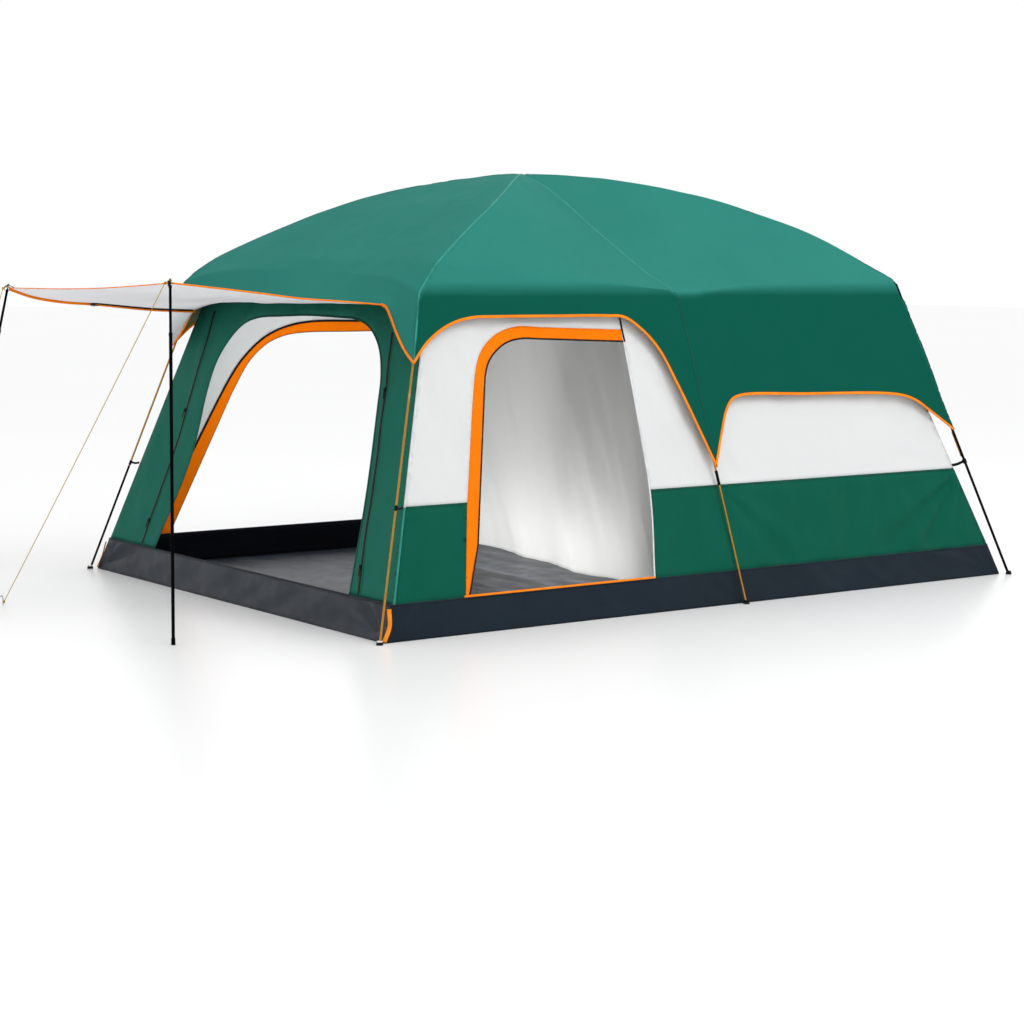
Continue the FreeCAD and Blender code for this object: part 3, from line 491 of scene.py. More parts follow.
PALE_PLASTIC = moulded("pale_plastic", "d9d9d6", 0.4)
GROMMET = lacquer("grommet_metal", "a9a18b", 0.3, 1.0, "e5e0d0", 0.4)
PEG = lacquer("peg_steel", "b4b6ba", 0.32, 1.0, "e9eaec", 0.5)
CORD = braid("guyline", "bf9a04", "8f6f02")


# ---- meshes -------------------------------------------------------------------------------------
def made(name, verts, faces, material, body, uv=None, smooth=True):
    """A mesh object in the frame, riding on a body unless that is None."""
    mesh = bpy.data.meshes.new(name)
    mesh.from_pydata([tuple(v) for v in verts], [], faces)
    mesh.validate()
    if uv is not None:
        layer = mesh.uv_layers.new(name="lay")
        corners = np.zeros(len(mesh.loops), int)
        mesh.loops.foreach_get("vertex_index", corners)
        layer.data.foreach_set("uv", np.asarray(uv, np.float32)[corners].ravel())
    mesh.materials.append(material)
    if smooth:
        mesh.polygons.foreach_set("use_smooth", np.ones(len(mesh.polygons), bool))
    obj = bpy.data.objects.new(name, mesh)
    bpy.context.scene.collection.objects.link(obj)
    if body:
        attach(obj, body)
    return obj


def thicken(obj, thickness=CLOTH, inner=None):
    """Gives cloth its two faces; the inner one may be of another material."""
    solid = obj.modifiers.new("cloth", "SOLIDIFY")
    solid.thickness = thickness
    solid.offset = 0.0
    if inner is not None:
        obj.data.materials.append(inner)
        solid.material_offset = 1
        solid.material_offset_rim = 1


def declared(obj, flat=None, strip=None):
    """Works out the flat size of a sheet, or of a strip of this length, grown to hold its mesh's area; the
    result is not kept.
    """
    area = sum(p.area for p in obj.data.polygons)
    flat = [area / strip, float(strip)] if strip else [float(side) for side in flat]
    if area > flat[0] * flat[1]:
        flat = [side * math.sqrt(area / (flat[0] * flat[1])) * 1.0001 for side in flat]


def filled(outline, step):
    """Points and triangles that fill an outline in the flat."""
    rim = spaced(np.vstack([outline, outline[:1]]), step * 0.75)[:-1]
    low, high = rim.min(axis=0), rim.max(axis=0)
    rows = np.arange(low[1], high[1], step * 0.87)
    grid = []
    for i, v in enumerate(rows):
        us = np.arange(low[0] + (i % 2) * step / 2, high[0], step)
        grid.append(np.stack([us, np.full(len(us), v)], axis=1))
    grid = np.vstack(grid)
    grid = grid[edge_distance(grid, rim) > step * 0.5]
    grid = grid[inside(grid, rim)]
    points = [Vector(p) for p in np.vstack([rim, grid])]
    edges = [(i, (i + 1) % len(rim)) for i in range(len(rim))]
    verts, _, faces, _, _, _ = delaunay_2d_cdt(points, edges, [], 0, 1e-6)
    verts = np.array([tuple(v) for v in verts])
    middles = verts[np.array(faces)].mean(axis=1)
    keep = inside(middles, rim)
    return verts, [face for face, kept in zip(faces, keep) if kept], rim


def inside(p, outline):
    """Which points lie inside a closed outline."""
    hit = np.zeros(len(p), bool)
    for a, b in zip(outline, np.roll(outline, -1, axis=0)):
        crosses = (a[1] > p[:, 1]) != (b[1] > p[:, 1])
        if a[1] != b[1]:
            at = a[0] + (p[:, 1] - a[1]) * (b[0] - a[0]) / (b[1] - a[1])
            hit ^= crosses & (p[:, 0] < at)
    return hit


def panel(name, outline, place, material, body="tent", relief=None, inner=None, step=MESH_STEP,
          fade=0.05, flip=False, thickness=CLOTH, strip=None):
    """A cloth panel cut to an outline in the flat, laid on its surface and given its folds."""
    outline = np.array(outline, float)
    flat, faces, rim = filled(outline, step)
    here = place(flat)
    if relief is not None:
        tiny = 1e-3
        du = place(flat + [tiny, 0]) - here
        dv = place(flat + [0, tiny]) - here
        normal = np.cross(du, dv)
        normal /= np.linalg.norm(normal, axis=1)[:, None]
        share = np.clip(edge_distance(flat, rim) / fade, 0, 1)
        share = share * share * (3 - 2 * share)
        here = here + normal * (relief(flat) * share)[:, None]
    if flip:
        faces = [face[::-1] for face in faces]
    obj = made(name, here, faces, material, body)
    thicken(obj, thickness, inner)
    declared(obj, np.ptp(outline, axis=0), strip)
    return obj


def grid_faces(rows, columns):
    """The faces of a grid whose vertices are listed row by row."""
    return [(a, a + 1, a + columns + 1, a + columns)
            for a in (i * columns + j for i in range(rows - 1) for j in range(columns - 1))]


def tube_faces(rings, count):
    """The faces of a tube through rings of count vertices each, with its ends closed."""
    faces = [(i * count + k, i * count + (k + 1) % count,
              (i + 1) * count + (k + 1) % count, (i + 1) * count + k)
             for i in range(rings - 1) for k in range(count)]
    return faces + [tuple(range(count))[::-1], tuple((rings - 1) * count + k for k in range(count))]


def sweep(name, points, side, profile, material, body="tent"):
    """A profile carried along a line. side points across it, at each point or for all of them."""
    p = np.array(points, float)
    n = len(p)
    tangent = np.gradient(p, axis=0)
    tangent /= np.linalg.norm(tangent, axis=1)[:, None]
    across = np.array(side, float) * np.ones((n, 3))
    across -= tangent * (across * tangent).sum(axis=1)[:, None]
    across /= np.linalg.norm(across, axis=1)[:, None]
    out = np.cross(tangent, across)
    shape = np.array(profile, float)
    m = len(shape)
    verts = p[:, None] + across[:, None] * shape[None, :, :1] + out[:, None] * shape[None, :, 1:]
    verts = verts.reshape(-1, 3)
    faces = tube_faces(n, m)
    share = (shape[:, 0] - shape[:, 0].min()) / np.ptp(shape[:, 0])
    uv = np.stack([np.repeat(distance_along(p), m), np.tile(share, n)], axis=1)
    return made(name, verts, faces, material, body, uv)


def flat_profile(width, thick, shift=0.0, lift=0.0):
    """A tape's cross-section: flat with rounded edges."""
    w, t = width / 2, thick / 2
    half = [(-w, 0), (-w + t * 0.6, t * 0.85), (-w * 0.5, t), (0, t), (w * 0.5, t),
            (w - t * 0.6, t * 0.85), (w, 0)]
    full = half + [(a, -b) for a, b in half[-2:0:-1]]
    return [(a + shift, b + lift) for a, b in full]


def round_profile(radius, count):
    """The points of a round section, for sweep."""
    turns = [2 * math.pi * k / count for k in range(count)]
    return [(radius * math.cos(t), radius * math.sin(t)) for t in turns]


def rope(name, points, radius, material, body="tent", count=10):
    """A round cord or bar along a line."""
    p = np.array(points, float)
    way = p[-1] - p[0]
    side = np.cross(way, (0.13, 0.21, 0.97))
    if np.linalg.norm(side) < 1e-6:
        side = (1, 0, 0)
    return sweep(name, p, side, round_profile(radius, count), material, body)


def lathe(name, base, axis, outline, material, body="tent", count=28):
    """A turned piece: (distance along the axis, radius) pairs spun about it."""
    axis = Vector(axis).normalized()
    turn = Vector((0, 0, 1)).rotation_difference(axis)
    verts = []
    for along, radius in outline:
        for k in range(count):
            angle = 2 * math.pi * k / count
            spot = Vector((radius * math.cos(angle), radius * math.sin(angle), along))
            verts.append(Vector(base) + turn @ spot)
    faces = tube_faces(len(outline), count)
    if outline[0] == outline[-1]:
        faces = faces[:-2]
        verts = verts[:-count]
        wrap = len(verts)
        faces = [tuple(v % wrap for v in face) for face in faces]
    return made(name, verts, faces, material, body)


# ---- fly sheet ----------------------------------------------------------------------------------
ROOF_ROWS, SHOULDER_ROWS, FLAP_ROWS = 36, 8, 26
END_COLUMNS, SIDE_COLUMNS = 26, 46

# The front flap's lower edge as (x, z), and the roof's front corner, on the near and the far side
FRONT_EDGE_NEAR = [(0, 1.582), (0.5, 1.583), (0.86, 1.582), (0.950, 1.579), (0.993, 1.566), (1.021, 1.535),
                   (1.046, 1.500), (1.092, 1.435), (1.160, 1.360), (1.2415, 1.300)]
FRONT_EDGE_FAR = [(0, 1.582), (0.5, 1.575), (0.80, 1.553), (0.93, 1.530), (1.00, 1.495), (1.07, 1.430),
                  (1.15, 1.360), (1.2415, 1.300)]
EAVE_CORNER_NEAR = (1.178, -1.728, 1.648)
EAVE_CORNER_FAR = (1.172, -1.785, 1.668)
GUSSET_START = 3                  # the point of the front edge where the awning ends and its binding starts


def coons(top, bottom, left, right):
    """A surface between four edges: rows run from top to bottom, columns from left to right."""
    rows, columns = len(left), len(top)
    t = np.linspace(0, 1, rows)[:, None, None]
    s = np.linspace(0, 1, columns)[None, :, None]
    across = (1 - t) * top[None] + t * bottom[None]
    down = (1 - s) * left[:, None] + s * right[:, None]
    corners = ((1 - s) * (1 - t) * top[0] + s * (1 - t) * top[-1]
               + (1 - s) * t * bottom[0] + s * t * bottom[-1])
    return across + down - corners


def fly_half(front_edge, corner):
    """Rows from the crown to the lower edges, over the right half from the front's middle to the back's."""
    front, middle, rear = (through(ridge, ROOF_ROWS) for ridge in (RIDGE_FRONT, RIDGE_MIDDLE, RIDGE_REAR))
    s_end = np.linspace(0, 1, END_COLUMNS)[None, :, None]
    s_side = np.linspace(0, 1, SIDE_COLUMNS)[None, :, None]
    only_x = np.array([1, 0, 0])
    arch_front = through(on_side(ARCH_FRONT, SIDE_FLAP), SIDE_COLUMNS)
    arch_rear = through(on_side(ARCH_REAR, SIDE_FLAP), SIDE_COLUMNS)
    arch_share = ((arch_front[:, 1] - arch_front[0, 1]) / np.ptp(arch_front[:, 1]))[None, :, None]

    roof = [front[:, None] * (1 - only_x) + front[:, None] * only_x * s_end,
            (1 - arch_share) * front[:, None] + arch_share * middle[:, None],
            (1 - s_side) * middle[:, None] + s_side * rear[:, None],
            rear[:, None] * (1 - only_x) + rear[:, None] * only_x * (1 - s_end)]

    shoulder_run = evenly([SHOULDER, corner], SHOULDER_ROWS + 1)[1:]
    leg_front, leg_middle, leg_rear = (
        evenly([top, on_side(tip, SIDE_FLAP)[0]], FLAP_ROWS + 1)
        for top, tip in ((corner, TIP_FRONT), (EAVE_MIDDLE, TIP_MIDDLE), (EAVE_REAR, TIP_REAR)))

    low = through([(x, FRONT_EDGE_Y, z) for x, z in front_edge], END_COLUMNS)
    low[-1] = leg_front[-1]
    right = np.vstack([[SHOULDER], shoulder_run, leg_front[1:]])
    left = evenly([(0, SHOULDER[1], SHOULDER[2]), low[0]], len(right))
    apron = coons(roof[0][-1], low, left, right)[1:]

    fold = (1 - arch_share) * shoulder_run[:, None] + arch_share * np.array(EAVE_MIDDLE)
    side_front = np.vstack([fold, coons(fold[-1], arch_front, leg_front, leg_middle)[1:]])
    eave_rear = evenly([EAVE_MIDDLE, EAVE_REAR], SIDE_COLUMNS)
    fold = np.repeat(eave_rear[None], SHOULDER_ROWS, axis=0)
    side_rear = np.vstack([fold, coons(eave_rear, arch_rear, leg_middle, leg_rear)[1:]])

    eave_back = evenly([EAVE_REAR, (0, EAVE_REAR[1], EAVE_REAR[2])], END_COLUMNS)
    back_low = through(on_end(ARCH_BACK, REAR_FLAP)[::-1], END_COLUMNS)
    back_low[0] = leg_rear[-1]
    centre = evenly([eave_back[-1], back_low[-1]], FLAP_ROWS + 1)
    fold = np.repeat(eave_back[None], SHOULDER_ROWS, axis=0)
    back = np.vstack([fold, coons(eave_back, back_low, leg_rear, centre)[1:]])

    sectors = [np.vstack([top, hanging]) for top, hanging in zip(roof, (apron, side_front, side_rear, back))]
    return np.concatenate([sectors[0]] + [sector[:, 1:] for sector in sectors[1:]], axis=1)


def smoothed(bm, wanted, rounds):
    """Softens the cloth where wanted says so of a place; the sheet's own edges stay."""
    inner = [v for v in bm.verts if not v.is_boundary and wanted(v.co)]
    for _ in range(rounds):
        bmesh.ops.smooth_vert(bm, verts=inner, factor=0.5, use_axis_x=True, use_axis_y=True, use_axis_z=True)


def fly_relief(p):
    """The fly's swells, the folds along its eaves, and the creases that run up from its tips."""
    lift = waves(p, 0.62, 0.0045, 11) + waves(p, 0.21, 0.0012, 12)
    eave = np.exp(-((p[:, 2] - 1.675) / 0.055) ** 2) * (p[:, 1] < 0.3) * (np.abs(p[:, 0]) > 0.9)
    lift += eave * waves(p, 0.055, 0.0030, 13, (1, 0.07, 1))
    hanging = (np.abs(p[:, 0]) > SIDE_FLAP[0] + SIDE_FLAP[1] * p[:, 2] - 0.03) & (p[:, 2] < 1.63)
    side = p[:, 1:]
    for root, toward, spread, reach, folds, depth in (
            (TIP_MIDDLE, (0.06, 1), 0.55, 0.75, 11, 0.0065), (TIP_FRONT, (0.8, 0.55), 0.5, 0.55, 12, 0.0050),
            (TIP_REAR, (-0.75, 0.65), 0.6, 0.75, 12, 0.0055),
            ((-0.33, 1.44), (0.55, 0.8), 0.6, 0.35, 9, 0.0030),
            ((0.23, 1.07), (-0.5, 0.85), 0.6, 0.4, 9, 0.0030),
            ((1.632, 1.66), (-0.8, -0.6), 0.6, 0.6, 9, 0.003)):
        lift += hanging * fan(side, root, toward, spread, reach, folds, depth, folds)
    front = (p[:, 1] < -1.6) & (np.abs(p[:, 0]) < 1.2)
    face = np.stack([np.abs(p[:, 0]), p[:, 2]], axis=1)
    lift += front * fan(face, (1.236, 1.30), (-0.5, 1), 0.5, 0.35, 9, 0.0035, 3)
    back = p[:, 1] > 1.64
    lift += back * fan(face, (1.352, 0.845), (-0.7, 0.7), 0.6, 0.9, 11, 0.0050, 5)
    return lift


def fly_size():
    """The fly's width, from tip to tip over its middle, and its length along the middle of the roof."""
    half = run_length(through(RIDGE_MIDDLE, 80)) + math.dist(EAVE_MIDDLE, on_side(TIP_MIDDLE, SIDE_FLAP)[0])
    front = [(0, y, z) for _, y, z in through(RIDGE_FRONT, 80)] + [(0, FRONT_EDGE_Y, FRONT_EDGE_NEAR[0][1])]
    rear = [(0, y, z) for _, y, z in through(RIDGE_REAR, 80)] + [tuple(on_end(ARCH_BACK[0], REAR_FLAP)[0])]
    return 2 * half, run_length(front) + run_length(rear)


RELIEF_FADE = 0.15                # how far in from the fly's edges its folds reach their full height


def build_fly():
    """The fly sheet, one piece of cloth from its crown to the arched edges of its flaps."""
    near = fly_half(FRONT_EDGE_NEAR, EAVE_CORNER_NEAR)
    far = fly_half(FRONT_EDGE_FAR, EAVE_CORNER_FAR) * [-1, 1, 1]
    ring = np.concatenate([near, far[:, -2:0:-1]], axis=1)
    rows, columns = ring.shape[:2]
    faces = [(a, d, c, b) for a, b, c, d in tube_faces(rows, columns)[:-2]]
    fly = made("fly_sheet", ring.reshape(-1, 3), faces, FLY, None)
    bm = bmesh.new()
    bm.from_mesh(fly.data)
    bmesh.ops.remove_doubles(bm, verts=bm.verts, dist=0.0006)
    bmesh.ops.dissolve_degenerate(bm, dist=0.0003, edges=bm.edges)
    smoothed(bm, lambda c: c.z > 1.61, 2)
    smoothed(bm, lambda c: c.z > 1.72 and abs(c.y + 0.15) < 0.30 and abs(c.x) > 0.12, 8)
    smoothed(bm, lambda c: 1.58 < c.z < 1.76 and -1.45 < c.y < 0.15, 5)
    bmesh.ops.recalc_face_normals(bm, faces=bm.faces)
    bm.to_mesh(fly.data)
    rim = np.array([tuple(v.co) for v in bm.verts if v.is_boundary])
    bm.free()

    mesh = fly.data
    p = np.array([tuple(v.co) for v in mesh.vertices])
    normal = np.array([tuple(n.vector) for n in mesh.vertex_normals])
    if normal[:, 2][p[:, 2] > 2.1].mean() < 0:
        mesh.flip_normals()
        normal = -normal
    near_rim = np.array([np.linalg.norm(rim - spot, axis=1).min() for spot in p])
    share = np.clip(near_rim / RELIEF_FADE, 0, 1)
    p = p + normal * (fly_relief(p) * share * share * (3 - 2 * share))[:, None]
    mesh.vertices.foreach_set("co", p.astype(np.float32).ravel())
    mesh.update()
    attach(fly, "tent")
    thicken(fly, inner=FLY_INSIDE)
    fly.modifiers["cloth"].material_offset_rim = 0
    declared(fly, fly_size())
    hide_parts("fly_front", "fly_rear", "fly_right_front", "fly_right_rear", "fly_left_front",
                "fly_left_rear", "fly_crown_patch", "flap_right", "flap_left", "flap_rear", "flap_front")
    return fly


class Surface:
    """Finds places on a finished mesh, so that seams and tapes lie on its folds."""

    def __init__(self, obj):
        mesh = obj.data
        self.tree = BVHTree.FromPolygons([v.co for v in mesh.vertices], [p.vertices for p in mesh.polygons])

    def lay(self, points, lift):
        """The surface's nearest places to the points, lifted off it, and its normals there."""
        spots, normals = [], []
        for point in points:
            spot, normal, _, _ = self.tree.find_nearest(Vector(point))
            spots.append(spot)
            normals.append(normal)
        normals = np.array([tuple(n) for n in normals])
        return np.array([tuple(s) for s in spots]) + normals * lift, normals


def taped(name, points, normals, width, thick, material, body="tent", shift=0.0, inward=None):
    """Flat tape along a line, lying on a surface with these normals. inward says which way it is shifted."""
    p = np.array(points, float)
    tangent = np.gradient(p, axis=0)
    across = np.cross(np.array(normals, float) * np.ones((len(p), 3)), tangent)
    if inward is not None:
        middle = len(p) // 2
        if across[middle] @ np.array(inward, float) < 0:
            across = -across
    return sweep(name, p, across, flat_profile(width, thick, shift), material, body)


OVER_EDGE = 0.003                 # how far a binding stands out past the cloth's edge


def bound(name, points, normal, inward, body="tent", width=BINDING_WIDTH, thick=BINDING_THICK):
    """Binding tape folded over a cloth's edge."""
    binding = taped(name, points, normal, width, thick, ORANGE, body, width / 2 - OVER_EDGE, inward)
    return binding


SIDE_FLAP_NORMAL = np.array([1, 0, 0.25]) / math.hypot(1, 0.25)
REAR_FLAP_NORMAL = np.array([0, 1, 0.334]) / math.hypot(1, 0.334)
BINDING_STEP = 0.018              # between the cross-sections of a binding
ARCH_BINDING_THICK = 0.007        # the side arches' bindings clear the folds of the flap they hold
SEAM_WIDTH, SEAM_THICK = 0.010, 0.0016
SEAM_LIFT = 0.0009                # a seam's middle above the cloth


def bind_fly(on_fly):
    """The orange bindings along the lower edges of the flaps."""
    for side, flip in SIDES:
        for place, route in (("front", ARCH_FRONT), ("rear", ARCH_REAR)):
            line = spaced(through(on_side(route, SIDE_FLAP), 200) * flip, BINDING_STEP)
            line, _ = on_fly.lay(line, 0)
            binding = bound(f"binding_{place}_{side}", line, SIDE_FLAP_NORMAL * flip, (0, 0, 1),
                            thick=ARCH_BINDING_THICK)
            if (place, side) == ("front", "right"):
                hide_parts("fly_piping")
    back = through(on_end(ARCH_BACK, REAR_FLAP), 80)
    back[-1] = on_side(TIP_REAR, SIDE_FLAP)[0]
    whole = np.vstack([back[::-1], mirror(back)[1:]])
    bound("binding_back", spaced(whole, BINDING_STEP), REAR_FLAP_NORMAL, (0, 0, 1))
    for (side, flip), route in zip(SIDES, (FRONT_EDGE_NEAR, FRONT_EDGE_FAR)):
        line = through([(x * flip[0], FRONT_EDGE_Y, z) for x, z in route[GUSSET_START:]], 40)
        bound(f"binding_gusset_{side}", line, (0, -1, 0.1), (flip[0] * 0.6, 0, 0.7))


def sew_fly(on_fly):
    """The felled seams over the poles, from near the crown to the flaps' tips."""
    front_roof, middle_roof, rear_roof = (through(ridge, count)[2:-1] for ridge, count in
                                          ((RIDGE_FRONT, 90), (RIDGE_MIDDLE, 70), (RIDGE_REAR, 90)))
    front_tip, middle_tip, rear_tip = (on_side(tip, SIDE_FLAP)[0]
                                       for tip in (TIP_FRONT, TIP_MIDDLE, TIP_REAR))
    for (side, flip), bend in zip(SIDES, (EAVE_CORNER_NEAR, EAVE_CORNER_FAR)):
        corner = np.vstack([front_roof, evenly([SHOULDER, bend], 8)[:-1], evenly([bend, front_tip], 16)])
        # The roof seams' lighter tape is a painted highlight; the flap seams' darker tape is painted shade.
        for place, route, material in (
                ("front", corner, SEAM_PAINTED_HIGHLIGHT), ("middle", middle_roof, SEAM_PAINTED_HIGHLIGHT), ("rear", rear_roof, SEAM_PAINTED_HIGHLIGHT),
                ("middle_flap", evenly([EAVE_MIDDLE, middle_tip], 40), SEAM_FLAP_PAINTED_SHADE),
                ("rear_flap", evenly([EAVE_REAR, rear_tip], 40), SEAM_FLAP_PAINTED_SHADE)):
            spots, normals = on_fly.lay(spaced(route * flip, 0.02), SEAM_LIFT)
            piece = taped(f"seam_{place}_{side}", spots, normals, SEAM_WIDTH, SEAM_THICK, material)


# ---- awning -------------------------------------------------------------------------------------
AWNING_REAR = [(-0.985, -1.797, 1.508), (-0.80, -1.797, 1.545), (-0.50, -1.797, 1.570), (0, -1.797, 1.578),
               (0.50, -1.797, 1.580), (0.86, -1.797, 1.582), (0.965, -1.797, 1.582)]
AWNING_FAR_LOOK = [(-0.926, -2.935, 1.636), (-0.93, -2.805, 1.594), (-0.935, -2.63, 1.566),
                   (-0.945, -2.40, 1.550), (-0.96, -2.09, 1.521), (-0.985, -1.797, 1.508)]
AWNING_NEAR_LOOK = [(1.000, -2.985, 1.690), (1.000, -2.73, 1.664), (1.000, -2.51, 1.641),
                    (1.000, -2.29, 1.616), (0.995, -2.07, 1.602), (0.965, -1.797, 1.582)]
AWNING_FRONT = [(-0.926, -2.935, 1.636), (-0.60, -2.955, 1.639), (-0.22, -2.968, 1.643),
                (0.256, -2.98, 1.654),
                (0.66, -2.985, 1.672), (1.000, -2.985, 1.690)]
AWNING_SAG = 0.008


def with_awning(obj):
    """Bakes a piece's place into its mesh; it rides on no body."""
    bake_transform(obj)


def build_awning():
    """The awning, bound on three edges, with half a zip under its far edge."""
    columns, rows = 64, 44
    front = through(AWNING_FRONT, columns)
    rear = through(AWNING_REAR, columns)
    far = through(AWNING_FAR_LOOK, rows)
    near = through(AWNING_NEAR_LOOK, rows)
    grid = coons(front, rear, far, near)
    s = np.linspace(0, 1, columns)[None, :]
    t = np.linspace(0, 1, rows)[:, None]
    belly = np.sin(math.pi * s ** 0.7) * np.sin(math.pi * t)
    calm = 0.25 + 0.75 * np.clip(s * 2.5, 0, 1)
    p = grid.reshape(-1, 3)
    flat = p[:, :2]
    folds = (waves(flat, 0.30, 0.0045, 21, (0.35, 1)) + waves(flat, 0.09, 0.0016, 22, (0.25, 1))
             + fan(flat, (1.0, -2.98), (-0.75, 0.66), 0.6, 0.8, 12, 0.006, 2)
             + fan(flat, (-0.926, -2.93), (0.72, 0.7), 0.6, 0.8, 12, 0.006, 4)
             + fan(flat, (-0.985, -1.80), (0.7, -0.7), 0.7, 0.6, 9, 0.005, 6))
    edge = (np.minimum(np.minimum(s, 1 - s), np.minimum(t, 1 - t)) * 12).clip(0, 1)
    p[:, 2] += folds * (edge * calm).ravel() - AWNING_SAG * belly.ravel()
    awning = made("awning_cloth_sheet", p, grid_faces(rows, columns), AWNING_CLOTH, None)
    with_awning(awning)
    thicken(awning)
    size = (max(run_length(front), run_length(rear)), max(run_length(near), run_length(far)))
    declared(awning, size)
    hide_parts("awning_sheet")

    up = (0, 0.05, 1)
    edges = [bound("awning_binding_near", spaced(near[::-1], 0.02), up, (-1, 0, 0), None, 0.014, 0.008),
             bound("awning_binding_far", spaced(far[::-1] - [0, 0, 0.006], 0.02), up, (1, 0, 0), None, 0.016,
                   0.016),
             bound("awning_binding_front", spaced(front, 0.02), up, (0, 1, 0), None, 0.010, 0.005)]
    for binding in edges:
        with_awning(binding)
    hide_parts("awning_piping")

    inner_far = through(AWNING_FAR_LOOK, 90)[38:88] + [0.026, 0, -0.003]
    tape = taped("awning_zip_tape", inner_far + [0, 0, 0.001], up, 0.019, 0.008, ZIP, None)
    with_awning(tape)
    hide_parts("awning_zip")
    slider = zip_slider("awning_zip_slider", inner_far[0] - [0, 0, 0.004], (0.25, 0, -1), (0, 1, 0),
                        "awning", AWNING_TAB, 1.5)
    return awning


def build_wing(awning):
    """The pale wing that closes the gap between the awning's far edge and the fly's far tip."""
    rows, columns = 14, 12
    top = through([(-0.985, -1.806, 1.500), (-0.980, -1.880, 1.505), (-0.972, -1.958, 1.510)], columns)
    low = evenly([(-1.232, -1.808, 1.300), (-1.232, -1.820, 1.300)], columns)
    t = np.linspace(0, 1, rows)[:, None, None]
    grid = ((1 - t) * top[None] + t * low[None]).reshape(-1, 3)
    grid[:, 1] += waves(grid[:, ::2], 0.09, 0.003, 24) * np.sin(math.pi * np.repeat(t.ravel(), columns))
    wing = made("awning_wing", grid, grid_faces(rows, columns), WING_CLOTH_PAINTED_LIGHT, None)
    with_awning(wing)
    thicken(wing)
    declared(wing, (run_length(top), math.dist(top[-1], low[-1])))


# ---- inner tent ---------------------------------------------------------------------------------
def corner_front(z):
    """y of the inner tent's front corners at height z."""
    return FRONT_WALL[0] + FRONT_WALL[1] * z + 0.0035


def corner_rear(z):
    """y of its rear corners at height z."""
    return REAR_WALL[0] + REAR_WALL[1] * z - 0.0035


def side_x(z):
    """x of its near side wall at height z."""
    return SIDE_WALL[0] + SIDE_WALL[1] * z


SILL_HEIGHT = {"right": 0.181, "left": 0.171}
WALL_SEED = {"right": 31, "left": 41}
MOST_BULGE = 0.0012               # a white wall may not push out through the flap over it


